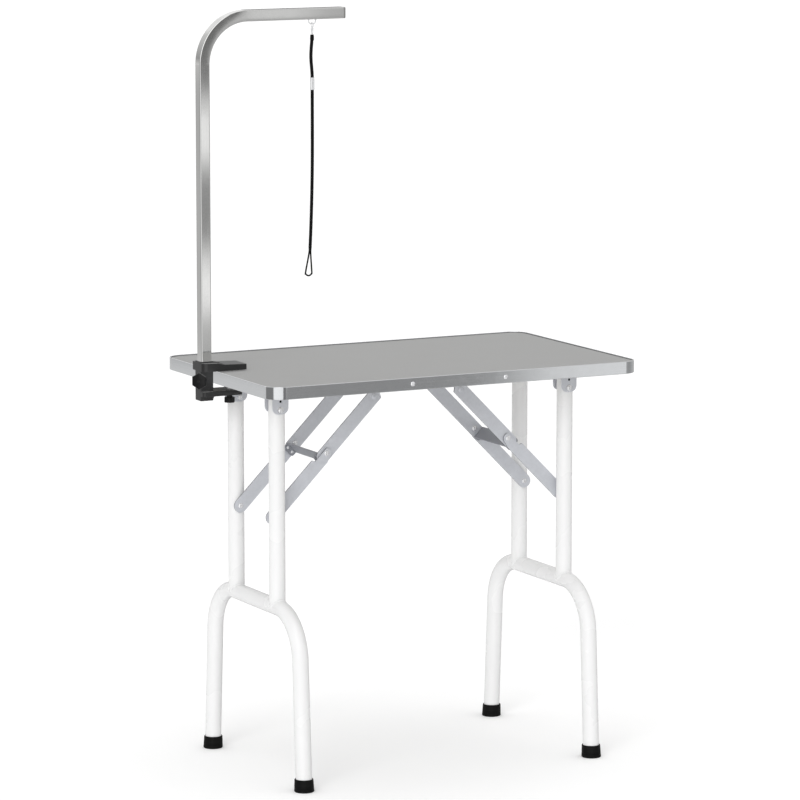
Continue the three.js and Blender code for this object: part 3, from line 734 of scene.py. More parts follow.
def legs(hand, sx):
    x = sx * LEG_X
    route, centre, bend_from = leg_route(x)
    bm = bmesh.new()
    sweep(bm, route, circle(TUBE_R, 48), (1, 0, 0))
    piece(f"{hand}_leg_tube", bm, "white", f"{hand}_leg", [f"{hand}_leg_frame"])
    for end, sy in ENDS:
        post(hand, end, x, sy, centre, bend_from)
        foot(hand, end, x, sy)


def post(hand, end, x, sy, centre, bend_from):
    """An upright tube, its foot cut to the crossbar and welded, its top closed by a plug."""
    y, sides = sy * POST_Y, 64
    ring = circle(1, sides)
    inner = TUBE_R - TUBE_WALL
    bm = bmesh.new()
    foot_ring = [bm.verts.new((x + a * TUBE_R, y + b * TUBE_R,
                               saddle_z(a * TUBE_R, y + b * TUBE_R, centre, bend_from, TUBE_R) - 0.6))
                 for a, b in ring]
    levels = [(TUBE_R, CROSSBAR_Z + 24), (TUBE_R, POST_TOP - 0.8), (TUBE_R - 0.3, POST_TOP - 0.1),
              (TUBE_R - 0.6, POST_TOP), (inner + 0.2, POST_TOP), (inner, POST_TOP - 0.3),
              (inner, POST_TOP - 9)]
    rings = [foot_ring]
    for r, z in levels:
        rings.append([bm.verts.new((x + a * r, y + b * r, z)) for a, b in ring])
    rings.append([bm.verts.new((x, y, POST_TOP - 9))])
    bridge(bm, rings)
    bm.faces.new(foot_ring)
    bead(bm, x, y, centre, bend_from)
    piece(f"{hand}_upright_{end}", bm, "white", f"{hand}_leg", [f"{hand}_post_{end}"])
    plug = bmesh.new()
    profile = [(0, -7), (inner - 0.3, -7), (inner - 0.3, -0.4), (inner + 0.7, 0.25),
               (inner - 1.5, 1.7), (0, 2.2)]
    lathe(plug, rounded(profile, 0.6, 3, False), Matrix.Translation((x, y, POST_TOP)), 40)
    piece(f"{hand}_upright_plug_{end}", plug, "plug", f"{hand}_leg", [])


def bead(bm, x, y, centre, bend_from):
    """The weld round the joint: a small ripple of overlapping beads under the paint."""
    path, count, beads = [], 160, 40
    for i in range(count):
        a = 2 * math.pi * i / count
        r = TUBE_R + 0.5
        dx, dy = r * math.cos(a), r * math.sin(a)
        z = saddle_z(min(TUBE_R, max(-TUBE_R, dx)), y + dy, centre, bend_from, TUBE_R) + 0.3
        path.append((x + dx, y + dy, z))

    def section(i):
        return circle(1.75 + 0.28 * math.cos(2 * math.pi * beads * i / count), 10)
    sweep(bm, path, section, None, True)


def foot(hand, end, x, sy):
    """A slightly conical rubber cap, leaning with the tube, with a flat sole."""
    bottom, top = CAP_BOTTOM_R, CAP_TOP_R
    slope = (bottom - top) / (CAP_HEIGHT - 1.6)
    profile = [(0, 0.8), (11, 0.8), (12, 0), (bottom - 1.4, 0), (bottom - 0.1, 1.4)]
    for z in (6.2, 9.2):
        r = bottom - slope * z
        profile += [(r, z - 0.7), (r - 0.7, z - 0.3), (r - 0.7, z + 0.3), (r, z + 0.7)]
    profile += [(top + 0.1, CAP_HEIGHT - 1.4), (top - 0.7, CAP_HEIGHT), (TUBE_R + 0.7, CAP_HEIGHT),
                (TUBE_R + 0.1, CAP_HEIGHT - 0.8), (TUBE_R + 0.1, 12), (0, 12)]
    bm = bmesh.new()
    lean = Matrix.Identity(4)
    lean[1][2] = -sy * SPLAY
    lathe(bm, rounded(profile, 0.35, 3, False), lean @ Matrix.Translation((x, sy * FOOT_Y, 0)), 64)
    piece(f"{hand}_foot_cap_{end}", bm, "foot", f"{hand}_leg", [f"{hand}_foot_{end}"])


# ---- hinge brackets --------------------------------------------------------------------------
def fold_profile(flat, radius):
    """The folding rule of a sheet bent down at flat from its middle."""
    quarter = radius * math.pi / 2

    def at(s):
        side, r = (1 if s >= 0 else -1), abs(s)
        if r <= flat:
            return side * r, 0.0
        if r < flat + quarter:
            a = (r - flat) / radius
            return side * (flat + radius * math.sin(a)), -radius * (1 - math.cos(a))
        return side * (flat + radius), -(radius + r - flat - quarter)

    return at


def leg_bracket(hand, sx, end, sy):
    """A folded channel: a base under the board with four screws, and an ear on each side."""
    x, y = sx * LEG_X, sy * POST_Y
    middle = EAR_OFFSET + EAR_THICKNESS / 2
    flat, quarter = middle - BRACKET_BEND, BRACKET_BEND * math.pi / 2
    base_z = PLATES_TOP - EAR_THICKNESS / 2
    half, reach = EAR_WIDTH / 2, BRACKET_REACH

    def s_at(z):
        return flat + quarter + (base_z - BRACKET_BEND - z)

    screws = [(s, t) for s in (-8, 8) for t in (-24, 24)]
    base = [(-flat, -reach), (-flat, -half), (-flat, half), (-flat, reach),
            (flat, reach), (flat, half), (flat, -half), (flat, -reach)]
    base = rounded(base, [4, 0, 0, 4, 4, 0, 0, 4], 5)
    zones = [("flat", [base])]
    for side in (-1, 1):
        ear_from, ear_to = flat + quarter, s_at(EAR_BOTTOM)
        outline = rounded([(ear_from, -half), (ear_to, -half), (ear_to, half), (ear_from, half)],
                          [0, EAR_CORNER, EAR_CORNER, 0], 10)
        hole = [(s_at(EAR_HOLE_Z) + b, a) for a, b in circle(2.5, 20)]
        zones.append(("flat", [[(side * s, t) for s, t in loop] for loop in (outline, hole)]))
        zones.append(("bend", side * flat, side * (flat + quarter), -half, half))
    bm = bmesh.new()
    place = axes((0, 1, 0), (1, 0, 0), (0, 0, 1), (x, y, base_z))
    folded(bm, zones, fold_profile(flat, BRACKET_BEND), EAR_THICKNESS, place)
    piece(f"{hand}_hinge_channel_{end}", bm, "stay", "table", [f"{hand}_bracket_{end}"])
    heads = bmesh.new()
    for s, t in screws:
        place = along((0, 0, -1), (x + t, y + s, PLATES_TOP - EAR_THICKNESS + 0.1))
        screw_head(heads, place, 3.6, 1.9, 1.2)
    piece(f"{hand}_hinge_screws_{end}", heads, "rivet", "table", [])
    plugs = bmesh.new()
    for side in (-1, 1):
        place = along((0, side, 0), (x, y + side * (EAR_OFFSET + 0.3), EAR_HOLE_Z))
        profile = rounded([(0, 0), (2.4, 0), (2.4, 0.9), (1.8, 1.1), (0, 0.8)], 0.2, 2, False)
        lathe(plugs, profile, place, 24)
    piece(f"{hand}_hinge_plugs_{end}", plugs, "rubber", "table", [])
    leg_bolt(hand, end, x, y, sy)


def leg_bolt(hand, end, x, y, sy):
    """A bolt through both ears and the tube: domed head outside, lock nut inside."""
    grip = EAR_OFFSET + EAR_THICKNESS + GAP
    bm = bmesh.new()
    outward = along((0, sy, 0), (x, y, PIVOT_Z))
    bolt_r, nut_r, washer_r, seat = 3.2, 5.4, BOLT_HEAD_R + 1.4, grip + 0.7
    rise = BOLT_HEAD * 0.8
    shank = [(0, -grip - 4.2), (bolt_r - 0.6, -grip - 4.2), (bolt_r, -grip - 3.6), (bolt_r, grip),
             (washer_r, grip), (washer_r, grip + 0.5), (BOLT_HEAD_R, seat)]
    lathe(bm, [*shank, *dome(BOLT_HEAD_R, seat, rise, 15, 5), (0, seat + rise)], outward, 40)
    plate(bm, circle(nut_r, 6), [circle(bolt_r, 24)], 2.6, outward @ lift(-grip - 2.7), 0.35)
    collar = [(bolt_r, -grip - 2.7), (4.6, -grip - 2.7), (4.2, -grip - 3.9), (bolt_r, -grip - 3.9)]
    lathe(bm, rounded(collar, 0.3, 2), outward, 32)
    piece(f"{hand}_hinge_bolt_{end}", bm, "rivet", "table", [f"{hand}_leg_bolt_{end}"])


# ---- folding stays ---------------------------------------------------------------------------
class StayLine:
    """One side's stay axes: u runs from the top pin to the leg, v points to the leg's pivot."""

    def __init__(self, sx):
        self.top = Vector((sx * STAY_TOP[0], 0, STAY_TOP[1]))
        self.leg = Vector((sx * LEG_X, 0, STAY_LEG_Z))
        self.u = (self.leg - self.top).normalized()
        self.v = Vector((-self.u.z * sx, 0, self.u.x * sx))
        self.length = (self.leg - self.top).length

    def at(self, distance, y=0.0, across=0.0):
        return self.top + self.u * distance + self.v * across + Vector((0, y, 0))

    def sheet(self, low_y):
        return axes(self.u, self.v, (0, 1, 0), self.top + Vector((0, low_y, 0)))


def upper_outline():
    half = STAY_WIDTH / 2
    ends = rounded([(KNEE, half), (-6, half), (-half, 5), (-half, -3), (-8.5, -half), (KNEE, -half)],
                   [0, 3, 3, 3, 3, 0], 4)
    return ends[1:-1] + arc((KNEE + TAIL, 0), half, -90, 90, 26)


def lower_outline(length):
    half = STAY_WIDTH / 2
    narrow = half - NOTCH_DEPTH
    meet = math.degrees(math.asin(narrow / KNEE_R))
    end = arc((KNEE, 0), KNEE_R, 180 - meet, 270, 20)
    notch = rounded([(length, half), (KNEE + NOTCH_LENGTH + NOTCH_RAMP, half),
                     (KNEE + NOTCH_LENGTH, narrow), end[0]], [0, 2.5, 2.5, 0], 4)
    return notch[1:-1] + end + [(KNEE + 12, -half)] + arc((length, 0), half, -90, 90, 26)


def rivet(bm, place, inner, outer, radius=5.4, height=1.8, collar=0.0):
    """A domed rivet with a dimpled head at each end of its shank along local Z."""
    def head(base, out):
        height_out = out * height
        return [(radius, base), *dome(radius, base, height_out, 12, 5), (1.6, base + height_out * 0.96),
                (1.1, base + height_out * 0.35), (0, base + height_out * 0.3)]
    shank_r, collar_top = 3, outer + 2.2
    profile = list(reversed(head(inner, -1))) + [(shank_r, inner), (shank_r, outer)]
    if collar:
        profile += rounded([(shank_r, outer), (collar, outer), (collar, collar_top), (0, collar_top)],
                           0.3, 2, False)[1:]
    else:
        profile += head(outer, 1)
    lathe(bm, profile, place, 40)


def stays(hand, sx):
    line = StayLine(sx)
    for end, sy in ENDS:
        for name, part, outline, inner, outer in (
                ("arm", "upper", upper_outline(), UPPER_INNER_Y, UPPER_OUTER_Y),
                ("link", "lower", lower_outline(line.length), STAY_INNER_Y, STAY_OUTER_Y)):
            sheet = line.sheet(inner if sy > 0 else -outer)
            bar = solid(plate, outline, [], STAY_THICKNESS, sheet, 0.5)
            # the stays' edges take the dark rim material: painted shade
            piece(f"{hand}_stay_{name}_{end}", bar, "stay", f"{hand}_{part}_stays",
                  [f"{hand}_{part}_stay_{end}"], rim="rim")
        for name, part, place, inner, outer, collar in (
                ("knee", "upper", KNEE, UPPER_INNER_Y - GAP, STAY_OUTER_Y + 0.1, 0),
                ("leg", "lower", line.length, STAY_INNER_Y - 0.1, STAY_OUTER_Y + GAP, 6)):
            pin = solid(rivet, along((0, sy, 0), line.at(place)), inner, outer, collar=collar)
            piece(f"{hand}_{name}_pin_{end}", pin, "rivet", f"{hand}_{part}_stays",
                  [f"{hand}_{name}_rivet_{end}"])
        top_bracket(hand, line, end, sy)
    stay_strap(hand, line)


def top_bracket(hand, line, end, sy):
    """A folded ear under the board, with the upper stay's pin."""
    radius, half = 3, STAY_WIDTH / 2 - 1
    x, z = line.top.x, line.top.z
    ear_y = STRAP_OUTER_Y - STRAP_THICKNESS / 2
    base_z = PLATES_TOP - STRAP_THICKNESS / 2
    inner_end = STRAP_OUTER_Y - STRAP_THICKNESS - 30
    flat = ear_y - radius - inner_end
    quarter = radius * math.pi / 2
    ear_from = flat + quarter
    pin_s = ear_from + base_z - radius - z
    base = rounded([(0, -half), (0, half), (flat, half), (flat, -half)], [5, 5, 0, 0], 5)
    ear = [(ear_from, half), (ear_from, -half), *arc((pin_s, 0), half, -90, 90, 24)]
    zones = [("flat", [base]), ("bend", flat, ear_from, -half, half), ("flat", [ear])]
    bm = bmesh.new()
    place = axes((0, sy, 0), (1, 0, 0), (0, 0, 1), (x, sy * inner_end, base_z))
    folded(bm, zones, fold_profile(flat, radius), STRAP_THICKNESS, place)
    outward = along((0, sy, 0), (x, 0, z))
    rivet(bm, outward, STRAP_OUTER_Y - STRAP_THICKNESS - 0.1, UPPER_OUTER_Y + GAP, 6.0, 1.9)
    for s, t in ((8, -7), (8, 7), (20, 0)):
        spot = (x + t, sy * (inner_end + s), PLATES_TOP - STRAP_THICKNESS + 0.1)
        screw_head(bm, along((0, 0, -1), spot), 3.4, 1.8, 1.1)
    piece(f"{hand}_stay_bracket_{end}", bm, "stay", "table", [f"{hand}_top_bracket_{end}"])


def stay_strap(hand, line):
    """A flat strap across both upper stays, its ends bent along their tails and riveted."""
    radius, half = 2.4, STAY_WIDTH / 2
    flange_y = STRAP_OUTER_Y - STRAP_THICKNESS / 2
    web = KNEE + STRAP_FROM_KNEE + STRAP_THICKNESS / 2
    tip = KNEE + STRAP_FROM_KNEE + STRAP_THICKNESS + STRAP_FLANGE
    flat, quarter = flange_y - radius, radius * math.pi / 2
    end_s = flat + quarter + (tip - web - radius)
    zones = [("flat", [[(-flat, -half), (-flat, half), (flat, half), (flat, -half)]])]
    for side in (-1, 1):
        start_s = flat + quarter
        corners = [(start_s, -half), (end_s, -half), (end_s, half), (start_s, half)]
        flange = rounded(corners, [0, 6, 6, 0], 6)
        zones.append(("flat", [[(side * s, t) for s, t in flange]]))
        zones.append(("bend", side * flat, side * (flat + quarter), -half, half))
    bm = bmesh.new()
    folded(bm, zones, fold_profile(flat, radius), STRAP_THICKNESS,
           axes((0, 1, 0), line.v, -line.u, line.at(web)))
    # the strap's darker paint is painted shade
    piece(f"{hand}_strap", bm, "strap", f"{hand}_upper_stays", [f"{hand}_stay_strap"])
    small = bmesh.new()
    for _, sy in ENDS:
        for across in (-6.5, 6.5):
            place = along((0, sy, 0), line.at(KNEE + 17, 0, across))
            rivet(small, place, STRAP_OUTER_Y - STRAP_THICKNESS - 0.1, STRAP_OUTER_Y + 0.1, 2.9, 1.2)
    piece(f"{hand}_strap_rivets", small, "rivet", f"{hand}_upper_stays", [])


# ---- arm and clamp ---------------------------------------------------------------------------
def arm():
    half = ARM_SIZE / 2
    axis_z = ARM_TOP - half
    foot_point = Vector((ARM_X, ARM_Y, ARM_FOOT_Z))
    corner, end = Vector((ARM_X, ARM_Y, axis_z)), Vector((ARM_END, ARM_Y, axis_z))
    curve, _ = bend(foot_point, corner, end, ARM_BEND, 48)
    outer = rounded([(-half, -half), (half, -half), (half, half), (-half, half)], ARM_CORNER, 6)
    inner = rounded([(-half + 1.5, -half + 1.5), (half - 1.5, -half + 1.5),
                     (half - 1.5, half - 1.5), (-half + 1.5, half - 1.5)], ARM_CORNER - 1.5, 6)
    path = [foot_point, *curve, end]
    bm = bmesh.new()
    sweep(bm, path, outer, (0, 1, 0), False, False)
    sweep(bm, [foot_point, foot_point + Vector((0, 0, 60))], inner, (0, 1, 0), False, False)
    ends_of_wall(bm, outer, inner, foot_point)
    bar = piece("arm_bar", bm, "arm", "arm", ["arm_tube"])
    bar.visible_glossy = False
    plug = bmesh.new()
    place = axes((0, 1, 0), (0, 0, 1), (1, 0, 0), (ARM_END + 0.05, ARM_Y, axis_z))
    plate(plug, inset(outer, 0.1), [], PLUG_FLANGE, place, 1.1, 4)
    piece("arm_plug", plug, "plug", "arm", ["arm_end_plug"])


def ends_of_wall(bm, outer, inner, origin):
    """The tube's open lower end, and a lid well up inside it so that the bore looks dark."""
    place = axes((0, 1, 0), (-1, 0, 0), (0, 0, 1), origin)
    part = bmesh.new()
    loops = [[part.verts.new((a, b, 0)) for a, b in loop] for loop in (outer, inner)]
    bridge(part, loops)
    fill(part, [[part.verts.new((a, b, 60)) for a, b in inner]])
    take(bm, part, place)


def lock_direction():
    a = math.radians(LOCK_ANGLE)
    return Vector((-math.sin(a), -math.cos(a), 0))


def clamp():
    """The cast body: spine, upper jaw, collar, boss and the lower jaw with its gusset."""
    x0, y0, y1 = CLAMP_X - CLAMP_HALF, ARM_Y - JAW_HALF, ARM_Y + JAW_HALF
    spine = slab(x0, CLAMP_X + CLAMP_HALF, ARM_Y - CLAMP_HALF, ARM_Y + CLAMP_HALF,
                 CLAMP_BOTTOM, CLAMP_COLLAR, 1.6)
    sideways = axes((1, 0, 0), (0, 0, 1), (0, -1, 0), (0, y1, 0))
    bottom = TOP_Z + GAP

    def jaw(side, corners, radii, z):
        plan = solid(plate, rounded(corners, radii, 8), [], 60, lift(z), 0.01, 1)
        return mesh_of(joined([solid(plate, side, [], 2 * JAW_HALF, sideways, 0.01, 1)], [], [plan]))
    upper = jaw([(x0, bottom), (JAW_END, bottom), *UPPER_JAW],
                [(x0, y0), (JAW_END, y0), (JAW_END, y1), (x0, y1)], [12, 2.5, 2.5, 2.5], 780)
    tip_x, low_z, high_z = LOWER_JAW[0][0], LOWER_JAW[0][1], LOWER_JAW[-1][1]
    lower = jaw([(x0, low_z), *LOWER_JAW, (x0, high_z)],
                [(x0, y0), (tip_x, y0), (tip_x, y1), (CLAMP_X - 1, y1), (x0, ARM_Y + CLAMP_HALF - 2)],
                [6, 2.5, 2.5, 4, 1], 730)
    gusset = [(CLAMP_X + 4, CLAMP_BOTTOM), (CLAMP_X + CLAMP_HALF, CLAMP_BOTTOM)]
    gusset += arc((CLAMP_X + CLAMP_HALF + 8.5, low_z - 8.5), 8.5, 180, 90, 8) + [(CLAMP_X + 4, 756)]
    rib = solid(plate, gusset, [], 2 * CLAMP_HALF - 2, axes((1, 0, 0), (0, 0, 1), (0, -1, 0),
                                                            (0, ARM_Y + CLAMP_HALF - 1, 0)), 0.01, 1)
    centre = Vector((CLAMP_X, ARM_Y, LOCK_Z))
    boss_end, boss_place = LOCK_FROM - GAP, along(lock_direction(), centre)
    boss = solid(lathe, [(0, 4), (10.5, 4), (9, boss_end), (0, boss_end)], boss_place, 48)
    sleeve = ARM_SIZE / 2 + 0.4
    bore = slab(ARM_X - sleeve, ARM_X + sleeve, ARM_Y - sleeve, ARM_Y + sleeve,
                CLAMP_BOTTOM - 5, CLAMP_COLLAR + 5, 2.2)
    pocket = slab(ARM_X + sleeve - 1, CLAMP_X + CLAMP_HALF + POCKET_LENGTH, ARM_Y - POCKET_HALF,
                  ARM_Y + POCKET_HALF, POCKET_FLOOR, CLAMP_COLLAR + 5, 2.5)
    body = softened(joined([spine, upper, lower, rib, boss], [bore, pocket]), 0.6, 2)
    bm = bmesh.new()
    take_object(bm, body)
    casting = piece("clamp_casting", bm, "clamp", "clamp", ["clamp_body"], 60)
    casting.visible_glossy = False


def mesh_of(made):
    """The bmesh of a temporary object, which it removes."""
    part = bmesh.new()
    take_object(part, made)
    return part


def lock_knob():
    """A six-sided hand knob, its face domed round a small dimple."""
    top = LOCK_THICKNESS

    def radial(a, r):
        turn = (a + math.pi / 6) % (math.pi / 3) - math.pi / 6
        flat = (math.cos(math.pi / 6) - 0.012) / math.cos(math.pi / 6 - abs(turn))
        share = min(1.0, max(0.0, r / LOCK_R - 0.35) / 0.4)
        return r * (1 - share + share * min(0.965, flat))
    profile = [(0, 0), (8.5, 0), (9.2, 0.8), (LOCK_R - 1.6, 1.2), (LOCK_R, 2.6), (LOCK_R, top - 3.2),
               (LOCK_R - 1.4, top - 1.5), (9, top - 0.5), (4, top), (2.2, top), (1.2, top - 1.2)]
    profile = rounded(profile + [(0, top - 1.3)], 0.8, 4, False)
    centre = Vector((CLAMP_X, ARM_Y, LOCK_Z)) + lock_direction() * LOCK_FROM
    bm = bmesh.new()
    place = axes((0, 0, 1), lock_direction().cross(Vector((0, 0, 1))), lock_direction(), centre)
    lathe(bm, profile, place, 144, radial)
    handle = piece("arm_lock_handle", bm, "grip", "lock_knob", ["arm_lock_knob"], 40)
    handle.visible_glossy = False
    shank = bmesh.new()
    profile = [(0, -4.1), (2.4, -4.1), (3.1, -3.4), (3.1, 0.6), (0, 0.6)]
    lathe(shank, rounded(profile, 0.3, 2, False), place, 24)
    screw = piece("arm_lock_screw", shank, "rivet", "lock_knob", [])
    screw.visible_glossy = False


def clamp_screw():
    pad_top = BAND_BOTTOM - GAP
    pad_bottom = pad_top - PAD_THICKNESS
    bm = bmesh.new()
    axis = Matrix.Translation((SCREW_X, ARM_Y, 0))
    profile = [(0, pad_bottom), (5.2, pad_bottom), (PAD_R - 0.8, pad_bottom + 1.2),
               (PAD_R, pad_bottom + 2), (PAD_R, pad_top), (0, pad_top)]
    lathe(bm, rounded(profile, 0.5, 3, False), axis, 56)
    piece("clamp_foot_pad", bm, "clamp", "pad", ["clamp_pad"])
    low, high = SCREW_KNOB_Z
    knob = bmesh.new()

    def lobed(a, r):
        lobes, depth = 6, 1.5
        wide = max(0.0, r / SCREW_KNOB_R - 0.6) / 0.4
        return r - wide * depth * (0.5 - 0.5 * math.cos(lobes * a)) ** 1.4
    rim = SCREW_KNOB_R
    profile = [(0, low + 0.8), (5.6, low + 0.8), (6.4, low), (rim - 0.8, low), (rim, low + 0.9),
               (rim, high - 0.9), (rim - 0.8, high), (6.5, high), (5, high + 4.4), (3.8, high + 5),
               (0, high + 5)]
    lathe(knob, rounded(profile, 0.4, 3, False), axis, 120, lobed)
    piece("clamp_hand_screw", knob, "grip", "screw", ["clamp_screw"], 50)
    shaft = bmesh.new()
    thread(shaft, SCREW_X, ARM_Y, high + 4, pad_bottom - GAP, SCREW_R, 1.6)
    piece("clamp_screw_thread", shaft, "rivet", "screw", [], 60)


def thread(bm, x, y, z0, z1, radius, pitch, depth=0.75, sides=28, per_turn=8):
    """A screw thread: the radius rises and falls once for each turn along the helix."""
    count = int((z1 - z0) / pitch * per_turn)
    rings = []
    for k in range(count + 1):
        z = z0 + (z1 - z0) * k / count
        fade = min(1.0, (z1 - z) / pitch)
        ring = []
        for i in range(sides):
            t = ((z - z0) / pitch - i / sides) % 1.0
            r = radius - 0.1 - depth * abs(2 * t - 1) - depth * 0.4 * (1 - fade)
            a = 2 * math.pi * i / sides
            ring.append(bm.verts.new((x + r * math.cos(a), y + r * math.sin(a), z)))
        rings.append(ring)
    bridge(bm, rings)
    bm.faces.new(rings[0])
    bm.faces.new(rings[-1])


# ---- wire eye, snap hook and noose -----------------------------------------------------------
def wire_eye():
    """A bent wire with its ends welded under the arm."""
    half, top = EYE_WIDTH / 2, ARM_TOP - ARM_SIZE - 0.05
    spots = [Vector((EYE_X + dx, ARM_Y, z)) for dx, z in
             ((-half, top), (-half, EYE_BOTTOM), (half, EYE_BOTTOM), (half, top))]
    first, _ = bend(spots[0], spots[1], spots[2], EYE_BEND, 14)
    second, _ = bend(spots[1], spots[2], spots[3], EYE_BEND, 14)
    bm = bmesh.new()
    sweep(bm, [spots[0], *first, *second, spots[3]], circle(EYE_WIRE / 2, 20), (0, 1, 0))
    for spot in (spots[0], spots[3]):
        lathe(bm, [(0, -1.9), (1.15, -1.9), (1.5, -1.1), (2.3, -0.35), (2.9, 0), (0, 0)],
              Matrix.Translation(spot), 24)
    piece("noose_eye", bm, "rivet", "arm", ["wire_eye"])


def ring_points(centre, radius, first, last, count):
    turn = [math.radians(first + (last - first) * i / count) for i in range(count + 1)]
    return [Vector((EYE_X, ARM_Y + radius * math.sin(a), centre + radius * math.cos(a))) for a in turn]


def snap_hook():
    """Swivel snap: a round hook with its sprung gate, and the eye that the noose hangs from."""
    wire = SNAP_WIRE / 2
    hook_centre = EYE_BOTTOM + EYE_WIRE / 2 + GAP + wire - (SNAP_RING - wire)
    bm = bmesh.new()
    points = ring_points(hook_centre, SNAP_RING - wire, -180, 90, 54)
    sweep(bm, points, lambda i: circle(wire * (0.55 + 0.45 * min(1, (54 - i) / 5)), 18), (1, 0, 0))
    stem_top = hook_centre - SNAP_RING + wire
    axis = Matrix.Translation((EYE_X, ARM_Y, 0))
    profile = [(0, SWIVEL_Z), (2.6, SWIVEL_Z), (2.6, SWIVEL_Z + 1.6), (1.25, stem_top), (0, stem_top)]
    lathe(bm, rounded(profile, 0.4, 3, False), axis, 32)
    piece("snap_body", bm, "rivet", "snap", ["snap_hook"])
    gate = bmesh.new()
    points = ring_points(hook_centre, SNAP_RING - wire, 107, 158, 16)
    sweep(gate, points, circle(0.78, 14), (1, 0, 0))
    piece("snap_lever", gate, "rivet", "gate", ["snap_gate"])
    collar_top = SWIVEL_Z - GAP
    eye_centre = collar_top - 1.6 - SWIVEL_R + wire
    eye = bmesh.new()
    profile = [(0, collar_top - 1.8), (2.4, collar_top - 1.8), (2.4, collar_top), (0, collar_top)]
    lathe(eye, rounded(profile, 0.4, 3, False), axis, 32)
    points = ring_points(eye_centre, SWIVEL_R - wire, 0, 351, 39)
    sweep(eye, points, circle(wire * 0.9, 16), (1, 0, 0), True)
    piece("swivel_ring", eye, "rivet", "swivel", ["swivel_eye"])
    return eye_centre - SWIVEL_R


def noose(top_z):
    """Two strands of braided cord from the swivel eye to a narrow loop, through a slide."""
    straight_to, half, slide_top = 1250, CORD_PITCH / 2, SLIDE_BOTTOM + SLIDE_HEIGHT

    def aside(z):
        fall = max(0.0, (straight_to - z) / (straight_to - CORD_BOTTOM))
        wave = math.sin(math.pi * max(0.0, z - slide_top) / (top_z - slide_top))
        return -CORD_DRIFT * fall * fall - CORD_SWAY * wave * wave

    def strand(sign):
        points, z = [], top_z - GAP
        while z > CORD_BOTTOM + 36:
            points.append((EYE_X + sign * half + aside(z), ARM_Y, z))
            z -= 13
        return points
    turn = arc((EYE_X - CORD_DRIFT, CORD_BOTTOM + CORD_LOOP + CORD_R), CORD_LOOP, 189, 351, 8)
    loop = [(x, ARM_Y, z) for x, z in turn]
    route = smooth_route([Vector(p) for p in [*strand(-1), *loop, *reversed(strand(1))]], 1.0)
    bm = bmesh.new()
    sides, yarn = 16, 2.6

    def braid(i):
        ring = []
        for k in range(sides):
            a, twist = 2 * math.pi * k / sides, math.pi * i / yarn
            cross = abs(math.cos(2 * a + twist) * math.cos(2 * a - twist))
            r = CORD_R * (0.94 + 0.08 * cross)
            ring.append((r * math.cos(a), r * math.sin(a)))
        return ring
    sweep(bm, route, braid, (0, 1, 0))
    cord = piece("noose_loop", bm, "cord", "swivel", ["noose_cord"], 180)
    slide = noose_slide()
    whipping(top_z)


def smooth_route(points, step):
    """The route as a smooth curve, in steps of about the given length."""
    out = []
    for i in range(len(points) - 1):
        p0, p1 = points[max(i - 1, 0)], points[i]
        p2, p3 = points[i + 1], points[min(i + 2, len(points) - 1)]
        count = max(1, round((p2 - p1).length / step))
        for k in range(count):
            t = k / count
            out.append(0.5 * (2 * p1 + (p2 - p0) * t + (2 * p0 - 5 * p1 + 4 * p2 - p3) * t * t
                              + (3 * p1 - p0 - 3 * p2 + p3) * t ** 3))
    return out + [points[-1]]


def noose_slide():
    """An oval metal slide round both strands, rolled at its ends and pinched in the middle."""
    reach_x, reach_y = CORD_PITCH / 2 + CORD_R + GAP, CORD_R + GAP
    wall = SLIDE_WALL

    def oval(grow):
        x, y = reach_x + grow, reach_y + grow
        return rounded([(-x, -y), (x, -y), (x, y), (-x, y)], y * 0.98, 8)
    half_way = [(0.15, 0), (wall - 0.1, 0), (wall, 0.5), (wall - 0.15, 1.6)]
    part, rings = bmesh.new(), []
    for grow, z in half_way + [(grow, SLIDE_HEIGHT - z) for grow, z in reversed(half_way)]:
        rings.append([part.verts.new((x, y, z)) for x, y in oval(grow)])
    bridge(part, rings + rings[:1])
    bm = bmesh.new()
    take(bm, part, Matrix.Translation((EYE_X, ARM_Y, SLIDE_BOTTOM)))
    return piece("noose_slide_tube", bm, "rivet", "slide", ["noose_slide"])


def whipping(top_z):
    """Thread wound round both strands where they join the swivel eye."""
    bm = bmesh.new()
    turns, pitch, steps = 11, 0.85, 28
    path = []
    for i in range(turns * steps):
        a = 2 * math.pi * i / steps
        path.append((EYE_X + (CORD_PITCH / 2 + CORD_R + 0.3) * math.cos(a),
                     ARM_Y + (CORD_R + 0.35) * math.sin(a), top_z - 2 - pitch * i / steps))
    sweep(bm, path, circle(0.42, 8), None)
    piece("noose_whipping", bm, "cord", "swivel", [])


# ---- stage -----------------------------------------------------------------------------------
def studio():
    """A plain pale floor, a soft sky and two wide lights."""
    scene = bpy.context.scene
    scene.view_settings.view_transform = "Standard"
    scene.view_settings.look = "None"
    floor_data = bpy.data.meshes.new("floor")
    bm = bmesh.new()
    bmesh.ops.create_circle(bm, cap_ends=True, radius=60, segments=96)
    bm.to_mesh(floor_data)
    bm.free()
    floor = bpy.data.objects.new("floor", floor_data)
    floor.visible_glossy = False
    scene.collection.objects.link(floor)
    pale = Paint("pale_floor", (0.95, 0.95, 0.95), 0.9, Specular_IOR_Level=0.1,
                 Emission_Color=(1, 1, 1, 1), Emission_Strength=0.1)
    floor_data.materials.append(pale.material)
    sun("key", (-0.66, -0.67, 0.36), 1.38, 34)
    sun("top", (0.05, 0.0, 1.0), 1.05, 70)
    surroundings()


def sun(name, towards, strength, spread):
    data = bpy.data.lights.new(name, "SUN")
    data.energy, data.angle = strength, math.radians(spread)
    lamp = bpy.data.objects.new(name, data)
    lamp.rotation_mode = "QUATERNION"
    lamp.rotation_quaternion = Vector(towards).to_track_quat("Z", "Y")
    bpy.context.scene.collection.objects.link(lamp)
    lamp.visible_glossy = False


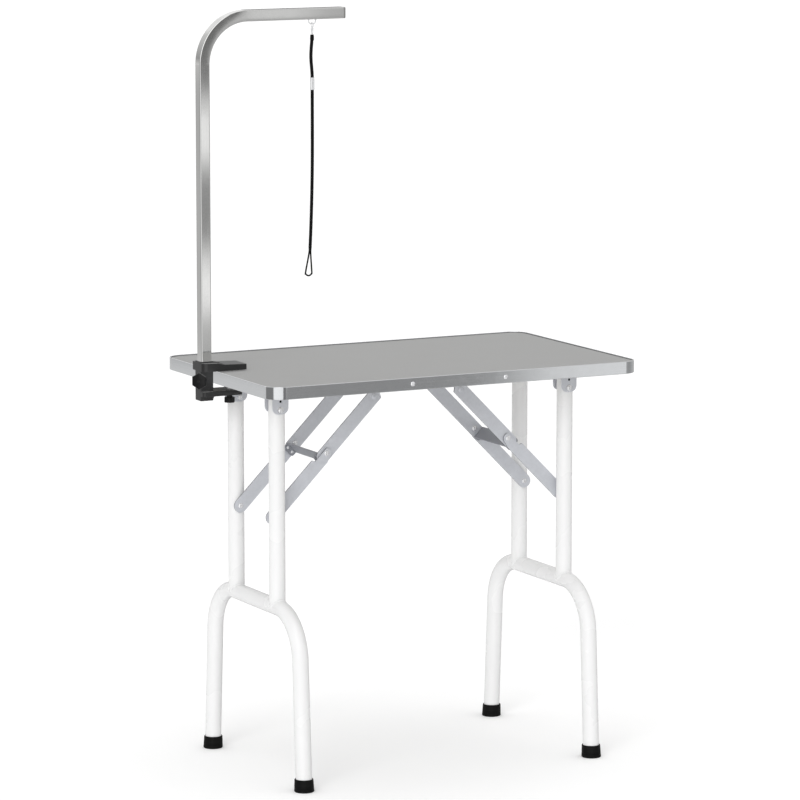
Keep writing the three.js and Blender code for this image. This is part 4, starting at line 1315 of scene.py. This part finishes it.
def surroundings():
    """The studio as metal sees it: pale walls with grey flags between soft boxes."""
    made = bpy.data.worlds.new("studio")
    bpy.context.scene.world = made
    made.use_nodes = True
    tree = made.node_tree
    tree.nodes.clear()

    def node(kind, inputs=(), **settings):
        return add_node(tree, kind, inputs, **settings)

    out = node("ShaderNodeOutputWorld")
    ray = node("ShaderNodeLightPath")
    def share(value, low, high):
        """0 to 1 as value goes from low to high."""
        inputs = {"Value": value, "From Min": low, "From Max": high}
        return node("ShaderNodeMapRange", inputs).outputs["Result"]

    def mixed(factor, first, second):
        return node("ShaderNodeMix", {0: factor, 2: first, 3: second}, data_type="FLOAT").outputs[0]

    parts = node("ShaderNodeSeparateXYZ", {0: node("ShaderNodeTexCoord").outputs["Generated"]}).outputs
    azimuth = node("ShaderNodeMath", {0: parts["X"], 1: parts["Y"]}, operation="ARCTAN2").outputs[0]
    turn = share(azimuth, -math.pi, math.pi)
    # degrees clockwise from +Y seen from above, and the brightness of the wall there
    wall = [(-180, 0.34), (-178, 0.93), (-150, 1.0), (-120, 1.0), (-112, 0.22), (-60, 0.22),
            (-54, 0.64), (-27, 0.64), (-15, 0.66), (10, 0.60), (40, 0.35), (60, 0.50), (80, 0.46),
            (112, 0.33), (130, 0.33), (140, 0.42), (147, 0.60), (150, 0.32), (156, 0.24), (172, 0.18),
            (180, 0.30)]
    walls = ramp(node, turn, [((a + 180) / 360, v) for a, v in wall])
    height = share(parts["Z"], -1.0, 1.0)
    overhead = ramp(node, height, [(0.0, 1.0), (0.47, 1.0), (0.56, 1.15), (0.7, 1.35), (1.0, 1.5)])
    glossy = node("ShaderNodeMath", {0: walls, 1: overhead}, operation="MULTIPLY").outputs[0]
    # soft boxes and flags in front of the wall: the azimuths where each one starts, is whole, is whole
    # still and ends, then its brightness at a few elevations
    cards = [
        ((140, 147, 151.75, 152.35), [(-12, 0.80), (20, 0.85)]),
        ((151, 151.5, 160, 165), [(-4.4, 0.28), (-4.0, 0.70), (-2, 0.70)]),
        ((151, 151.5, 153.7, 154.15), [(-4.4, 0.28), (-4.0, 0.47), (-2, 0.47)]),
        ((154.85, 155.0, 160, 165), [(-8.4, 0.3), (-8.0, 0.5), (-7.7, 0.5), (-7.4, 1.0), (-7.0, 1.0),
                                     (-6.5, 0.3), (-5.8, 0.3), (-5.4, 1.0), (-5.0, 1.0), (-4.5, 0.2),
                                     (-3.3, 0.15)]),
        ((-45, -38, -14, -8), [(-8.3, 0.65), (-8.0, 0.5), (-4.6, 0.45), (-4.0, 0.65), (2, 0.35),
                               (20, 0.6), (40, 0.9)]),
        ((6, 14, 40, 48), [(-10, 0.3), (-1, 0.12), (5.5, 0.12), (7.5, 0.85), (30, 1.0)]),
    ]
    for edges, stops in cards:
        sines = [math.sin(math.radians(e)) for e, _ in stops]
        low, high = sines[0], sines[-1]
        shade = ramp(node, share(parts["Z"], low, high), [
            ((z - low) / (high - low), v) for z, (_, v) in zip(sines, stops)])
        start, whole, still_whole, end = [math.radians(e) for e in edges]
        inside = {0: share(azimuth, start, whole), 1: share(azimuth, end, still_whole)}
        window = node("ShaderNodeMath", inside, operation="MULTIPLY").outputs[0]
        glossy = mixed(window, glossy, shade)
    soft = ramp(node, height, [(0.0, 0.485), (0.5, 0.485), (1.0, 0.58)])
    lit = mixed(ray.outputs["Is Glossy Ray"], soft, glossy)
    back = node("ShaderNodeBackground", {"Color": mixed(ray.outputs["Is Camera Ray"], lit, 1.0)})
    tree.links.new(back.outputs[0], out.inputs["Surface"])


def ramp(node, value, stops):
    """Brightness along a 0 to 1 value, straight between (place, brightness) stops. It may pass 1."""
    top = max(v for _, v in stops)
    made = node("ShaderNodeValToRGB", {"Fac": value})
    made.color_ramp.interpolation = "LINEAR"
    elements = made.color_ramp.elements
    while len(elements) > 1:
        elements.remove(elements[-1])
    for i, (place, brightness) in enumerate(stops):
        element = elements[0] if i == 0 else elements.new(place)
        element.position = place
        element.color = (brightness / top,) * 3 + (1,)
    return node("ShaderNodeMath", {0: made.outputs["Color"], 1: top}, operation="MULTIPLY").outputs[0]


# ---- assembly --------------------------------------------------------------------------------
def build():
    camera()
    noose(snap_hook())
    tabletop()
    for hand, sx in SIDES:
        legs(hand, sx)
        for end, sy in ENDS:
            leg_bracket(hand, sx, end, sy)
        stays(hand, sx)
    arm()
    clamp()
    lock_knob()
    clamp_screw()
    wire_eye()
    studio()


build()
